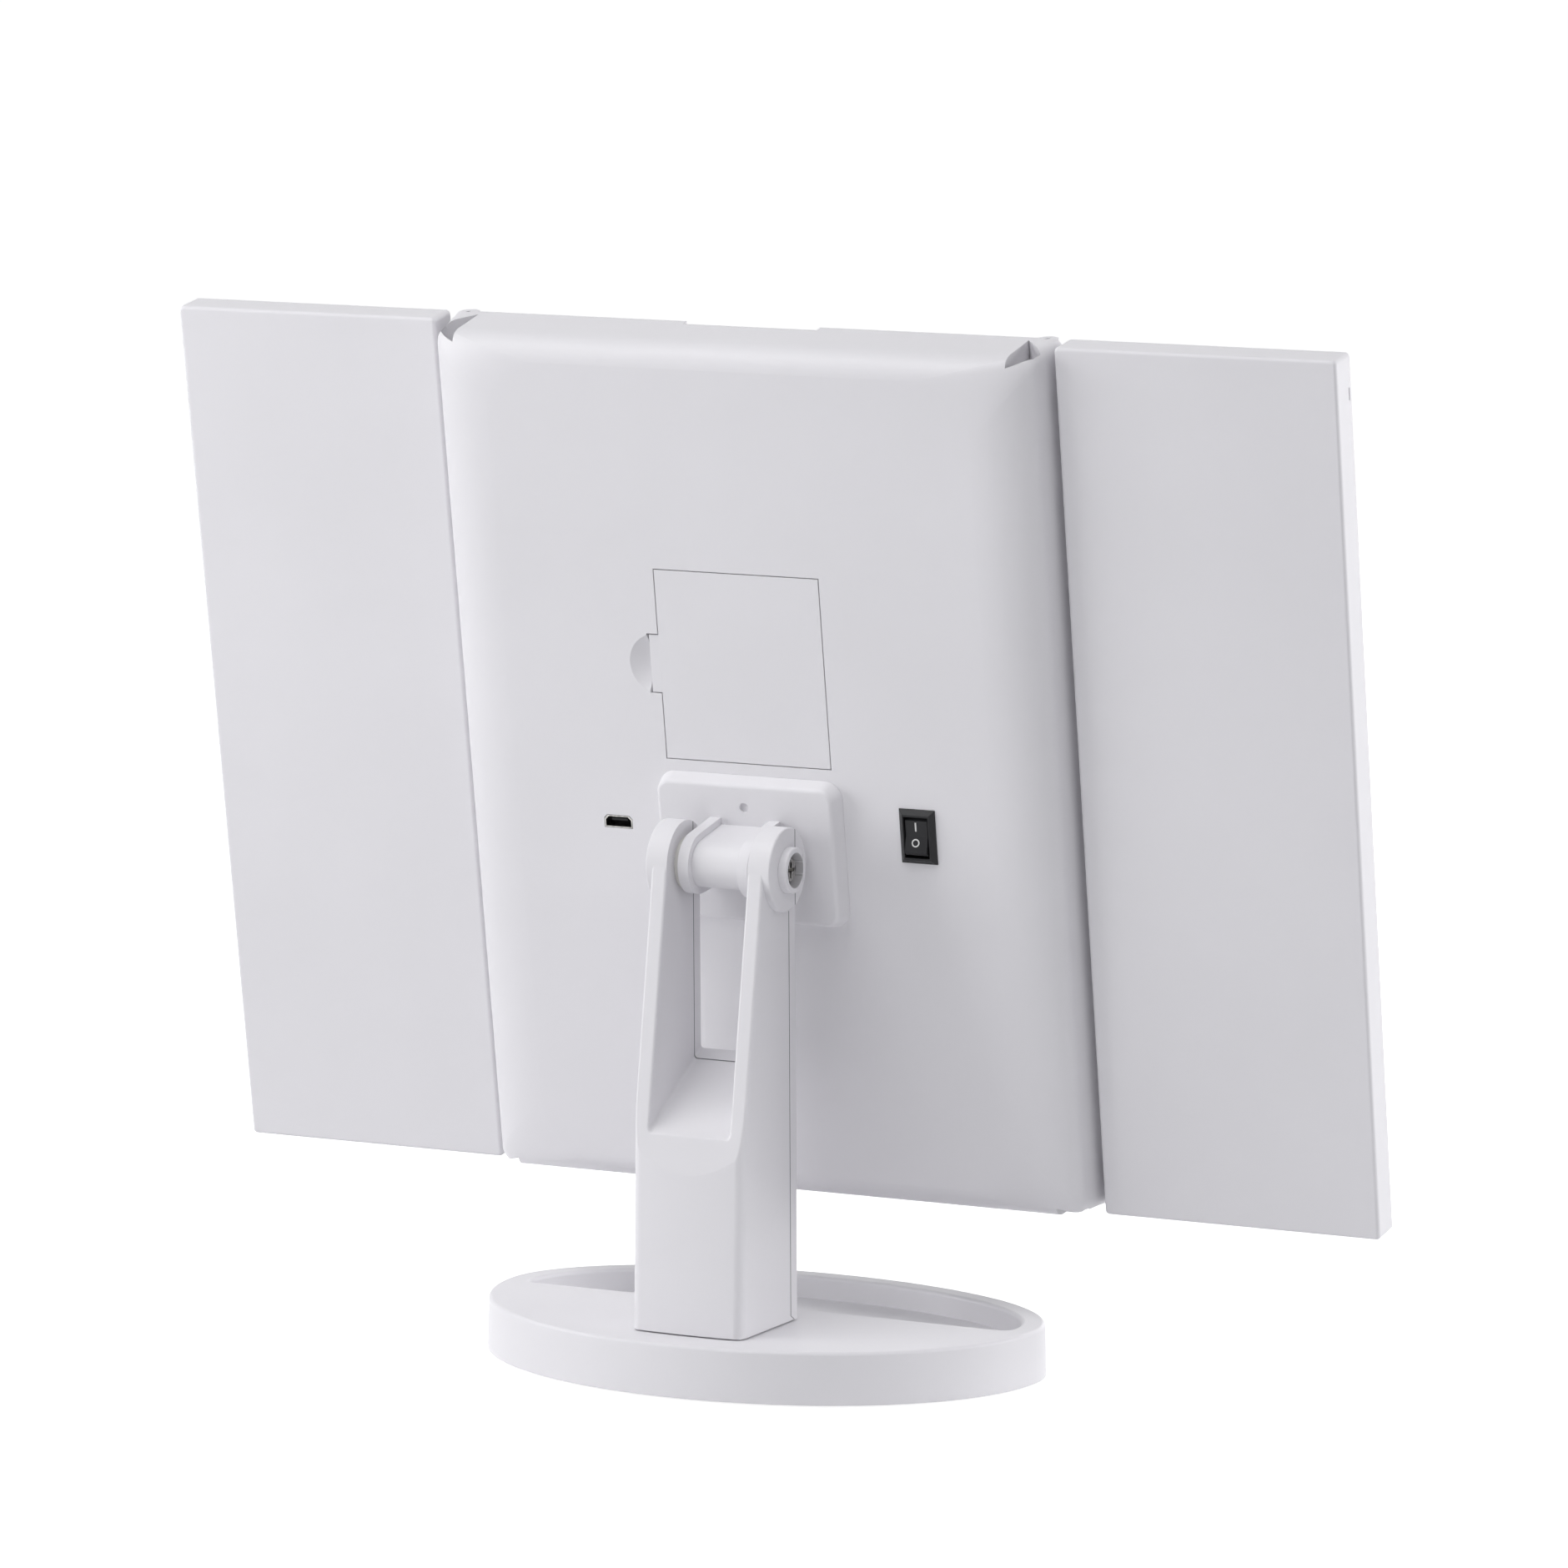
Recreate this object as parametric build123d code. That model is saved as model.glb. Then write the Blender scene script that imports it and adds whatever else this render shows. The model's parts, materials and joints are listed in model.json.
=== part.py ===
from build123d import *
import os
from math import asin, atan2, cos, hypot, radians, sin, tan

# Trifold vanity mirror with a lit centre panel, two folding wings, a forked tilting stand and a tray base.
# Millimetres. World frame: origin on the table under the middle of the base, +Z up, the user sits at -Y.
# The mirror is drawn upright in a panel frame and leant back at the end. Panel frame: origin on the
# middle of the tilt axis, +X to the user's right, +Y to the back, +Z up the panel.

# ---- General -------------------------------------------------------------------------------------
LEAN = 10.0                # the mirror leans back this far as stored, degrees
PIVOT_Y = 21.0             # tilt axis behind the middle of the base
PIVOT_Z = 138.7            # tilt axis above the table
GAP = 0.3                  # between bodies that move on each other
SEAT = 0.2                 # between a part and the pocket it drops into
SCREW_FIT = 0.05           # radial play of a screw or pin in its bore
PRESS_FIT = 0.01           # radial play where a screw or pin is held
REACH = 400.0              # longer than anything it cuts

# ---- Centre panel --------------------------------------------------------------------------------
PANEL_HALF = 89.9          # half the width at the front
PANEL_TOP = 138.6
PANEL_BOTTOM = -100.7
PANEL_DEPTH = 21.0
AXIS_TO_BACK = 17.6        # tilt axis to the panel's flat back
SIDE_DRAFT = 1.9           # each side narrows by this towards the shoulder
SHOULDER_DEPTH = 8.0       # the soft edge round the back
SHOULDER_SIDE = 19.0
SHOULDER_END = 7.7
FRONT_CORNER = 3.0         # corner radius at the front
BACK_CORNER = 15.0         # corner radius where the flat back starts
WALL = 2.0
LEDGE = 1.2                # step in the wall that the front frame rests on
NOTCH_LENGTH = 39.4        # finger notch in the top edge
NOTCH_WIDTH = 2.5
NOTCH_DEPTH = 0.8
BACK_Y = -AXIS_TO_BACK
FRONT_Y = BACK_Y - PANEL_DEPTH
PANEL_MID = (PANEL_TOP + PANEL_BOTTOM) / 2
PANEL_HEIGHT = PANEL_TOP - PANEL_BOTTOM
INNER_Y = BACK_Y - WALL    # inside face of the flat back

# ---- Wings and their hinges ----------------------------------------------------------------------
HINGE_INSET = 4.55         # hinge axis inside the panel's side
WING_DEPTH = 9.2
WING_GAP = 1.2             # between the open wing and the centre panel
WING_WALL = 1.8
WING_CORNER = 1.2
WING_EDGE = 1.0            # soft edge round the wing's back
CLOSED_GAP = 0.4           # between the closed wing's glass side and the panel's front
MEETING_GAP = 1.0          # between the two closed wings
KNUCKLE_R = 3.0
KNUCKLE_CAP = 4.5          # corner block above the wing's knuckle
KNUCKLE_LENGTH = 7.4
KNUCKLE_FOOT = 4.5         # corner block below it
ARM_THICK = 2.8            # flat arm from the wing to its knuckle
PIN_R = 1.0
PIN_SINK = 2.2             # the pin ends this far below the block's face
POCKET_WIDTH = 8.8         # the open corner pocket reaches this far in from the panel's side
POCKET_SKIN = 0.9
POCKET_DEPTH = 9.0
POCKET_FRONT = 2.3         # where the pocket's slanting front wall starts and ends, from the front
POCKET_REAR = 11.3
RIB = 1.5
PRY_LENGTH = 3.4           # pry slot in the wing's outer side
PRY_WIDTH = 0.6
PRY_DROP = 9.0             # from the wing's top
WING_FRAME_DEPTH = 4.0     # the wing's front frame reaches this far back
WING_BORDER = 5.0          # its border round the glass
WING_BAR = 6.0             # the bar between the two magnifiers
MAGNIFIER_SPLIT = 0.45     # the stronger magnifier takes this share of the height
MAGNIFIER_DISH = (0.7, 1.1)                    # how deep the weaker and the stronger one are dished
WING_FRAME_INSET = WING_WALL + SEAT / 2
POCKET_INSIDE = PANEL_HALF - POCKET_WIDTH
HINGE_X = PANEL_HALF - HINGE_INSET
WING_IN = PANEL_HALF + WING_GAP
WING_OUT = 2 * HINGE_X - MEETING_GAP / 2       # so that the closed wings meet in the middle
WING_WIDTH = WING_OUT - WING_IN
HINGE_Y = FRONT_Y - CLOSED_GAP / 2
KNUCKLE_START = KNUCKLE_CAP + GAP              # from the panel's end to the wing's knuckle
KNUCKLE_STOP = KNUCKLE_START + KNUCKLE_LENGTH
HINGE_ZONE = KNUCKLE_STOP + GAP + KNUCKLE_FOOT

# ---- Front of the centre panel -------------------------------------------------------------------
FRAME_DEPTH = 5.0
FRAME_SIDE = 9.5           # border beside the diffuser
FRAME_END = 5.0            # border above the diffuser and below the glass
GLASS_THICK = 2.1
GLASS_INSET = 0.1          # the glass lies this far behind the front
DIFFUSER_WIDTH = 9.4
DIFFUSER_THICK = 2.1
FRAME_LEDGE = 8.0          # what the glass rests on all round
LED_SLOT = 6.0
LED_SIDE_COUNT = 8
LED_TOP_COUNT = 5
LED_SIZE = (3.5, 1.1, 2.8)
LED_BOARD_WIDTH = 8.0
LED_BOARD_THICK = 1.0
LED_END_MARGIN = 12.0
HOOK_LENGTH = 10.0         # snap hooks behind the front frame
HOOK_REACH = 5.0
HOOK_THICK = 1.3
HOOK_ROWS = (-0.6, 0.0, 0.6)                   # places of the side hooks, as shares of half the height
TOUCH_R = 7.0
TOUCH_THICK = 0.6
TOUCH_RISE = 14.0          # above the glass's bottom edge
FRAME_HALF = PANEL_HALF - WALL - SEAT
LEDGE_HALF = PANEL_HALF - WALL - SIDE_DRAFT - LEDGE
FRAME_TOP = PANEL_TOP - WALL - SEAT
FRAME_BOTTOM = PANEL_BOTTOM + WALL + SEAT
OPEN_HALF = FRAME_HALF - FRAME_SIDE
OPEN_TOP = FRAME_TOP - FRAME_END
OPEN_BOTTOM = FRAME_BOTTOM + FRAME_END
GLASS_BACK_Y = FRONT_Y + GLASS_INSET + GLASS_THICK
FRAME_BACK_Y = FRONT_Y + FRAME_DEPTH
GLASS_HALF = OPEN_HALF - DIFFUSER_WIDTH - 2 * SEAT
GLASS_TOP = OPEN_TOP - DIFFUSER_WIDTH - 2 * SEAT
GLASS_BOTTOM = OPEN_BOTTOM + SEAT

# ---- Battery bay and door ------------------------------------------------------------------------
DOOR_WIDTH = 48.5
DOOR_HEIGHT = 52.4
DOOR_THICK = 1.8
DOOR_GAP = 0.25
DOOR_MID = 49.2            # middle of the door above the tilt axis
BAY_WIDTH = 46.8
BAY_HEIGHT = 50.6
BAY_DEPTH = 12.0
BAY_WALL = 1.4
CELLS = 4
CELL_RIB = (1.2, 2.5)      # width and height of the ribs between the cells
CATCH_WIDTH = 16.0         # snap catch on the door's edge
CATCH_REACH = 3.0
CATCH_THICK = 1.1
CATCH_DROP = 3.6
DOOR_HOOK = (5.0, 1.5, 1.2)                    # height, reach and thickness of the two door hooks
DOOR_HOOK_SPREAD = 14.0
SCOOP_R = 8.3              # finger scoop beside the catch
SCOOP_DEPTH = 3.0
SCOOP_OFFSET = 0.8         # its centre outside the door's edge
SCOOP_SKIN = 1.5           # thickness of the scoop's floor
CONTACT_SIZE = (9.0, 0.4, 9.0)
SPRING_R = 3.6
SPRING_LENGTH = 4.0
SPRING_COILS = 3
SPRING_STEP = 0.7          # each coil is this much smaller than the one below
SPRING_WIRE = 0.6
DOOR_X = DOOR_WIDTH / 2
CATCH_OUT = DOOR_X + CATCH_REACH
BAY_FLOOR_Y = INNER_Y - BAY_DEPTH

# ---- Rocker switch -------------------------------------------------------------------------------
SWITCH_X = -48.9
SWITCH_Z = 6.1
BEZEL_WIDTH = 10.4
BEZEL_HEIGHT = 15.0
BEZEL_THICK = 1.6
BEZEL_CHAMFER = 1.3
SWITCH_BODY = (8.5, 10.4, 13.0)
ROCKER_WIDTH = 6.4
ROCKER_SIDE_GAP = 0.4      # between the rocker and the well's sides
ROCKER_LIP = 1.2           # the outer lips of the rocker's face are cut off by this
ROCKER_R = 5.4             # the rocker's ends turn on this radius
ROCKER_RISE = 2.0          # from the rocker's pin to the middle of its face
ROCKER_HALF_TRAVEL = 10.0  # degrees either side of the middle
ROCKER_PIN_DEPTH = 2.5     # pin below the bezel's face
ROCKER_CUT = 2.2           # the rocker's body ends this far below its pin
ROCKER_PIN_R = 0.8
WELL_DEPTH = 5.6
BLADE = (0.8, 5.0, 4.8)
BLADE_PITCH = 5.0
SWITCH_FACE_Y = BACK_Y + BEZEL_THICK
ROCKER_Y = SWITCH_FACE_Y - ROCKER_PIN_DEPTH

# ---- Micro-USB socket and boards -----------------------------------------------------------------
USB_X = 40.5
USB_Z = 3.9
USB_WIDTH = 8.3
USB_HEIGHT = 3.4
USB_DEPTH = 5.6
USB_SKIN = 0.35
USB_BEVEL = 0.9
USB_TONGUE = (4.8, 4.4, 0.6)
USB_BOARD = (14.0, 11.0, 1.0)
BOARD_SIZE = (44.0, 1.2, 26.0)
BOARD_INSET = 15.9         # from the panel's side to the board
BOARD_AT = (PANEL_HALF - BOARD_INSET - BOARD_SIZE[0] / 2, -29.5, -45.0)
BOARD_POST_R = 2.4

# ---- Tilt bracket --------------------------------------------------------------------------------
PLATE_WIDTH = 54.4
PLATE_TOP = 19.6
PLATE_BOTTOM = -21.2
PLATE_THICK = 4.6
PLATE_CORNER = 5.0
PLATE_DRAFT = 1.5          # the plate narrows by this on every side towards its face
PLATE_EDGE = 1.2
BARREL_R = 6.3
BARREL_HALF = 7.15
FLANGE_R = 8.2
FLANGE_OUT = 10.3
WEB_FLARE = 0.6            # the web grows by this towards the plate
DIMPLE_R = 1.3
DIMPLE_Z = 12.0
BRACKET_SCREW_X = 21.0
BRACKET_SCREW_Z = (11.5, -14.5)
BRACKET_SCREW_R = 1.4
PLATE_FACE_Y = BACK_Y + PLATE_THICK

# ---- Stand ---------------------------------------------------------------------------------------
STAND_HALF = 16.4          # half width of the column and of the fork
STAND_REAR = 42.65
STAND_CROWN = 0.95         # bulge of the column's rear face
STAND_CORNER = 2.8
ARM_EDGE = 0.7             # soft edges of the leaning rear face
STAND_BREAK_Z = 58.4       # from here up the rear face leans forward to the round fork ends
STAND_FRONT_FOOT = 8.8     # the front leans back from here
STAND_FRONT_TOP = 12.7     # to here at the tilt axis
FRONT_SHELL_DEPTH = 4.0
SEAM_GAP = 0.25            # groove between the two shells
FOOT_STEP = 2.9            # the rear shell's foot runs this far under the front shell
FOOT_STEP_RISE = 1.7
FOOT_GROOVE_HEIGHT = 0.4   # shadow groove round the column's foot
FOOT_GROOVE_DEPTH = 1.0
HEAD_R = 11.2              # round end of each arm
FORK_HALF = 11.9           # half the gap between the arms
WINDOW_CORNER = 1.0
WINDOW_FRONT_Z = 88.4
WINDOW_REAR_Z = 68.3
STAND_WALL = 2.2
LIP_THICK = 1.6            # lip of the front shell inside the rear one
LIP_REACH = 2.2
DISC_R = 11.3              # the round boss on the arm's end
DISC_BOSS = 1.9            # it stands this proud of the arm
RING_R = 6.15
RING_BOSS = 4.2            # the ring round the screw stands this proud of the arm
BOSS_EDGE = 0.4            # soft edge of both
COLUMN_BOSS_R = 4.0
COLUMN_BOSS_X = 9.5
COLUMN_WEB_THICK = 1.6
COLUMN_BOSS_HEIGHT = 20.0
COLUMN_BOSS_Y = (STAND_REAR + STAND_FRONT_FOOT) / 2 + 4
CAVITY_TOP = WINDOW_REAR_Z - 8                 # the column is hollow up to here

# ---- Fasteners -----------------------------------------------------------------------------------
PIVOT_SCREW_R = 2.0
PIVOT_HEAD_R = 4.0
PIVOT_HEAD_THICK = 2.8
PIVOT_HEAD_SINK = 1.4      # head's face below the ring's rim
PIVOT_BORE_R = 4.7         # counterbore round the head
NUT_ACROSS = 7.0
NUT_THICK = 3.2
WASHER_R = 7.0
SMALL_SCREW_R = 1.4
SMALL_HEAD_R = 2.8
SMALL_HEAD_THICK = 1.8
HEAD_FACE = STAND_HALF + RING_BOSS - PIVOT_HEAD_SINK        # |x| of the pivot screw's and nut's outer faces
SCREW_SEAT = HEAD_FACE - PIVOT_HEAD_THICK
NUT_SEAT = HEAD_FACE - NUT_THICK

# ---- Base ----------------------------------------------------------------------------------------
BASE_HALF = 79.2           # half length of the oval's top
BASE_REAR = 55.0           # the oval's top reaches this far back
BASE_FRONT = 55.0          # and this far forward
BASE_WIDEST_Y = -8.0       # it is widest here
BASE_SPREAD = 0.4          # the oval is larger at the bottom
BASE_TOP = 15.0
FOOT_RISE = 0.8            # rubber feet stand this proud
BASE_WALL = 2.2
BASE_EDGE = 0.9
TRAY_RIM = 6.6
TRAY_DEPTH = 6.4
TRAY_REAR_Y = -4.6
TRAY_CORNER = 3.0
TRAY_EDGE = 1.0            # soft edge round the tray
COVER_THICK = 1.8
FOOT_R = 6.0
FOOT_THICK = 1.6
FOOT_AT = (52.0, 24.0)
COVER_SCREW_X = 58.0
COVER_SCREW_Y = 38.0
BOSS_R = 3.2


# ---- Helpers -------------------------------------------------------------------------------------
def block(x0, x1, y0, y1, z0, z1):
    """A plain box between two corners."""
    middle = ((x0 + x1) / 2, (y0 + y1) / 2, (z0 + z1) / 2)
    return Pos(*middle) * Box(abs(x1 - x0), abs(y1 - y0), abs(z1 - z0))


def rod(axis, radius, start, length):
    """A cylinder from a point, along "x", "y" or "z"; a negative length runs the other way."""
    direction = {"x": (1, 0, 0), "y": (0, 1, 0), "z": (0, 0, 1)}[axis]
    turn = tuple(part if length > 0 else -part for part in direction)
    return extrude(Plane(origin=start, z_dir=turn) * Circle(radius), abs(length))


def facing_front(y):
    """The upright plane at y that faces the user, with its x along +X."""
    return Plane(origin=(0, y, 0), x_dir=(1, 0, 0), z_dir=(0, -1, 0))


def slab(outline, y_back, y_front):
    """Extrude an outline drawn in x and z forwards, from y_back to y_front."""
    return extrude(facing_front(y_back) * outline, y_back - y_front)


def rounded(half, top, bottom, radius):
    """A rounded rectangle in x and z, centred on x = 0."""
    return Pos(0, (top + bottom) / 2) * RectangleRounded(2 * half, top - bottom, radius)


def rectangle(x0, x1, z0, z1):
    """A plain rectangle in x and z between two corners."""
    return Pos((x0 + x1) / 2, (z0 + z1) / 2) * Rectangle(abs(x1 - x0), abs(z1 - z0))


def mirrored(shape):
    """The same shape on the other side of the middle plane."""
    return mirror(shape, about=Plane.YZ)


def both_sides(shape):
    """The shape and its mirror image as two separate solids."""
    return group([shape, mirrored(shape)])


def group(shapes):
    """Several separate solids in one node."""
    solids = []
    for shape in shapes:
        solids.extend(shape.solids())
    return Compound(children=solids)


def lean_back(shape):
    """Place a shape drawn in the panel frame in the world."""
    return Location((0, PIVOT_Y, PIVOT_Z), (-LEAN, 0, 0)) * shape


def cross_slot(size, depth):
    """The cross recess of a screw, centred on its face and cut down -Z."""
    arm = Box(size, size * 0.22, 2 * depth)
    return arm + Rot(0, 0, 90) * arm


def screw(head_r, head_thick, shank_r, length):
    """A pan-head screw: head's seat at the origin, head up +Z, shank down -Z."""
    head = extrude(Circle(head_r), head_thick)
    top = head.edges().sort_by(Axis.Z)[-1]
    head = chamfer(top, head_thick * 0.35)
    recess = Pos(0, 0, head_thick) * cross_slot(head_r * 1.1, head_thick * 0.55)
    shank = extrude(Circle(shank_r), -length)
    tip = shank.edges().sort_by(Axis.Z)[0]
    return head - recess + chamfer(tip, shank_r * 0.4)


# ---- Centre panel: rear shell --------------------------------------------------------------------
def panel_section(y, side_in, end_in, radius):
    """One cross-section of the panel's form, pulled in at the sides and at the ends."""
    outline = rounded(PANEL_HALF - side_in, PANEL_TOP - end_in, PANEL_BOTTOM + end_in, radius)
    return facing_front(y) * outline


def panel_form(inset, front=FRONT_Y):
    """The panel's soft-edged form: drafted sides, then elliptical shoulders up to the flat back."""
    shoulder_y = BACK_Y - SHOULDER_DEPTH - inset
    start = panel_section(front, inset, inset, FRONT_CORNER)
    middle = panel_section(shoulder_y, inset + SIDE_DRAFT, inset + SIDE_DRAFT / 2, FRONT_CORNER + 1)
    steps = 6
    sections = [middle]
    for step in range(1, steps + 1):
        angle = radians(90 * step / steps)
        share = 1 - cos(angle)
        side = inset + SIDE_DRAFT + (SHOULDER_SIDE - SIDE_DRAFT) * share
        end = inset + SIDE_DRAFT / 2 + (SHOULDER_END - SIDE_DRAFT / 2) * share
        radius = FRONT_CORNER + 1 + (BACK_CORNER - FRONT_CORNER - 1) * share
        sections.append(panel_section(shoulder_y + SHOULDER_DEPTH * sin(angle), side, end, radius))
    return loft([start, middle], ruled=True) + loft(sections)


def corner_profile(inset):
    """The panel's level cross-section beside its right edge, in x and y, pulled in by inset."""
    side = PANEL_HALF - inset
    shoulder_y = BACK_Y - SHOULDER_DEPTH - inset
    half_width = SHOULDER_SIDE - SIDE_DRAFT
    centre = (side - SHOULDER_SIDE, shoulder_y)
    curve = EllipticalCenterArc(centre, half_width, SHOULDER_DEPTH, arc_size=90)
    outline = Polyline(curve @ 1, (0, BACK_Y - inset), (0, FRONT_Y), (side, FRONT_Y), curve @ 0)
    return make_face(curve + outline)


def at_ends(build):
    """Build a feature for the right side at the top end and at the bottom end, then for the left."""
    parts = []
    for end, inward in ((PANEL_TOP, -1), (PANEL_BOTTOM, 1)):
        shape = build(end, inward)
        parts.extend([shape, mirrored(shape)])
    return parts


def corner_fill(end, inward):
    """Solid stock in the panel's corner that carries the hinge."""
    return block(POCKET_INSIDE - RIB, REACH, FRONT_Y, BACK_Y, end, end + inward * HINGE_ZONE)


def corner_pocket(end, inward):
    """The open pocket behind the hinge block; a thin skin stays outside it."""
    wedge = Polygon(
        (POCKET_INSIDE, FRONT_Y + POCKET_FRONT),
        (PANEL_HALF, FRONT_Y + POCKET_REAR + 0.9),
        (PANEL_HALF, BACK_Y),
        (POCKET_INSIDE, BACK_Y),
        align=None,
    )
    outline = corner_profile(POCKET_SKIN) & wedge
    floor = end + inward * POCKET_DEPTH
    return extrude(Plane.XY.offset(floor) * outline, -inward * (POCKET_DEPTH + 1))


def panel_knuckle(end, inward):
    """The two knuckles of the panel above and below the wing's knuckle, with their blocks."""
    cap = rod("z", KNUCKLE_R, (HINGE_X, HINGE_Y, end + inward * GAP), inward * (KNUCKLE_CAP - GAP))
    foot_start = end + inward * (KNUCKLE_STOP + GAP)
    foot = rod("z", KNUCKLE_R, (HINGE_X, HINGE_Y, foot_start), inward * KNUCKLE_FOOT)
    return cap + foot


def wing_relief(end, inward):
    """Room in the panel for the wing's knuckle and its arm."""
    start = end + inward * KNUCKLE_CAP
    length = inward * (KNUCKLE_LENGTH + 2 * GAP)
    turning = rod("z", KNUCKLE_R + GAP, (HINGE_X, HINGE_Y, start), length)
    arm = block(HINGE_X, REACH, FRONT_Y - KNUCKLE_R, FRONT_Y + ARM_THICK + GAP, start, start + length)
    return turning + arm


def pin_bore(end, inward):
    """The pin's press bore through the corner block."""
    return rod("z", PIN_R + PRESS_FIT, (HINGE_X, HINGE_Y, end - inward), inward * (HINGE_ZONE + 1 - RIB))


def scoop_ball(extra):
    """The ball that forms the finger scoop, larger by extra."""
    ball_r = (SCOOP_R ** 2 + SCOOP_DEPTH ** 2) / (2 * SCOOP_DEPTH)
    return Pos(DOOR_X + SCOOP_OFFSET, BACK_Y + ball_r - SCOOP_DEPTH, DOOR_MID) * Sphere(ball_r + extra)


def rear_shell():
    form = panel_form(0)
    seat = rounded(PANEL_HALF - WALL, PANEL_TOP - WALL, PANEL_BOTTOM + WALL, FRONT_CORNER - WALL / 2)
    ledge_hole = rounded(LEDGE_HALF, PANEL_TOP - WALL - 2 * LEDGE, PANEL_BOTTOM + WALL + 2 * LEDGE,
                         FRONT_CORNER)
    ledge = form & slab(seat - ledge_hole, FRAME_BACK_Y + LEDGE, FRAME_BACK_Y)
    shell = form - panel_form(WALL) - slab(seat, FRAME_BACK_Y, FRONT_Y - 1) + ledge
    for fill in at_ends(corner_fill):
        shell += fill & form
    for knuckle in at_ends(panel_knuckle):
        shell += knuckle
    dish_room = block(DOOR_X, DOOR_X + 2 * SCOOP_R, INNER_Y - SCOOP_DEPTH, BACK_Y, 0, PANEL_TOP)
    shell += scoop_ball(SCOOP_SKIN) & dish_room
    for post_x in (-1, 1):
        post_at = (BOARD_AT[0] + post_x * BOARD_SIZE[0] * 0.4, INNER_Y, BOARD_AT[2])
        shell += rod("y", BOARD_POST_R, post_at, BOARD_AT[1] + BOARD_SIZE[1] / 2 - INNER_Y)
    for pocket in at_ends(corner_pocket):
        shell -= pocket
    for relief in at_ends(wing_relief):
        shell -= relief
    for bore in at_ends(pin_bore):
        shell -= bore
    shell -= scoop_ball(0)
    return shell - shell_openings()


def shell_openings():
    """Door opening, catch slot, switch and socket cut-outs, bracket screw holes and finger notch."""
    door = rectangle(-DOOR_X - DOOR_GAP, DOOR_X + DOOR_GAP,
                     DOOR_MID - DOOR_HEIGHT / 2 - DOOR_GAP, DOOR_MID + DOOR_HEIGHT / 2 + DOOR_GAP)
    catch_half = CATCH_WIDTH / 2 + GAP
    catch = rectangle(DOOR_X, CATCH_OUT + 2 * GAP, DOOR_MID - catch_half, DOOR_MID + catch_half)
    switch = Pos(SWITCH_X, SWITCH_Z) * Rectangle(SWITCH_BODY[0] + SEAT, SWITCH_BODY[2] + SEAT)
    socket = usb_outline(-SEAT / 2)
    cut = slab(door + catch + switch + socket, BACK_Y + 1, INNER_Y - 2 * SCOOP_DEPTH)
    for x, z in bracket_screw_places():
        cut += rod("y", BRACKET_SCREW_R + SCREW_FIT, (x, BACK_Y + 1, z), -(WALL + 2))
    notch = block(-NOTCH_LENGTH / 2, NOTCH_LENGTH / 2, FRONT_Y - 1, FRONT_Y + NOTCH_WIDTH,
                  PANEL_TOP - NOTCH_DEPTH, PANEL_TOP + 1)
    return cut + notch


def bracket_screw_places():
    return [(x, z) for x in (-BRACKET_SCREW_X, BRACKET_SCREW_X) for z in BRACKET_SCREW_Z]


# ---- Centre panel: front -------------------------------------------------------------------------
def diffuser_outline(margin):
    """The arch of the light diffuser: two sides and a top, grown by margin."""
    outer = rectangle(-OPEN_HALF - margin, OPEN_HALF + margin, OPEN_BOTTOM, OPEN_TOP + margin)
    inside = GLASS_HALF + SEAT - margin
    inner = rectangle(-inside, inside, OPEN_BOTTOM, GLASS_TOP + SEAT - margin)
    return outer - inner


def led_slots():
    """Outline of the slots behind the diffuser that the LEDs shine through."""
    middle = OPEN_HALF - DIFFUSER_WIDTH / 2
    top_middle = OPEN_TOP - DIFFUSER_WIDTH / 2
    side = rectangle(middle - LED_SLOT / 2, middle + LED_SLOT / 2, OPEN_BOTTOM + 4, top_middle - 2 * LED_SLOT)
    top_end = middle - 2 * LED_SLOT
    top = rectangle(-top_end, top_end, top_middle - LED_SLOT / 2, top_middle + LED_SLOT / 2)
    return side + mirror(side, about=Plane.YZ) + top


def front_frame():
    plate = slab(rounded(FRAME_HALF, FRAME_TOP, FRAME_BOTTOM, FRONT_CORNER - WALL / 2), FRAME_BACK_Y, FRONT_Y)
    opening = slab(rectangle(-OPEN_HALF, OPEN_HALF, OPEN_BOTTOM, OPEN_TOP), GLASS_BACK_Y, FRONT_Y - 1)
    window = rounded(GLASS_HALF - FRAME_LEDGE, GLASS_TOP - FRAME_LEDGE, GLASS_BOTTOM + FRAME_LEDGE, 4)
    through = slab(window + led_slots(), FRAME_BACK_Y + 1, FRONT_Y - 1)
    frame = plate - opening - through
    for side in (-1, 1):
        for row in HOOK_ROWS:
            middle = PANEL_MID + row * PANEL_HEIGHT / 2
            outer = side * (LEDGE_HALF - SEAT)
            hook = block(outer, outer - side * HOOK_THICK, FRAME_BACK_Y, FRAME_BACK_Y + HOOK_REACH,
                         middle - HOOK_LENGTH / 2, middle + HOOK_LENGTH / 2)
            frame += hook
    for end, inward in ((PANEL_TOP, -1), (PANEL_BOTTOM, 1)):
        corner = block(POCKET_INSIDE - RIB - SEAT, REACH, FRONT_Y - 1, FRAME_BACK_Y + HOOK_REACH,
                       end - inward, end + inward * (HINGE_ZONE + SEAT))
        frame -= corner
        frame -= mirrored(corner)
    return frame


def centre_glass():
    glass = slab(rounded(GLASS_HALF, GLASS_TOP, GLASS_BOTTOM, 1.0), GLASS_BACK_Y, FRONT_Y + GLASS_INSET)
    front = glass.faces().sort_by(Axis.Y)[0]
    return chamfer(front.edges(), 0.4)


def light_diffuser():
    arch = slab(diffuser_outline(-SEAT), FRONT_Y + GLASS_INSET + DIFFUSER_THICK, FRONT_Y + GLASS_INSET)
    front = arch.faces().sort_by(Axis.Y)[0]
    return chamfer(front.edges(), 0.4)


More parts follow.
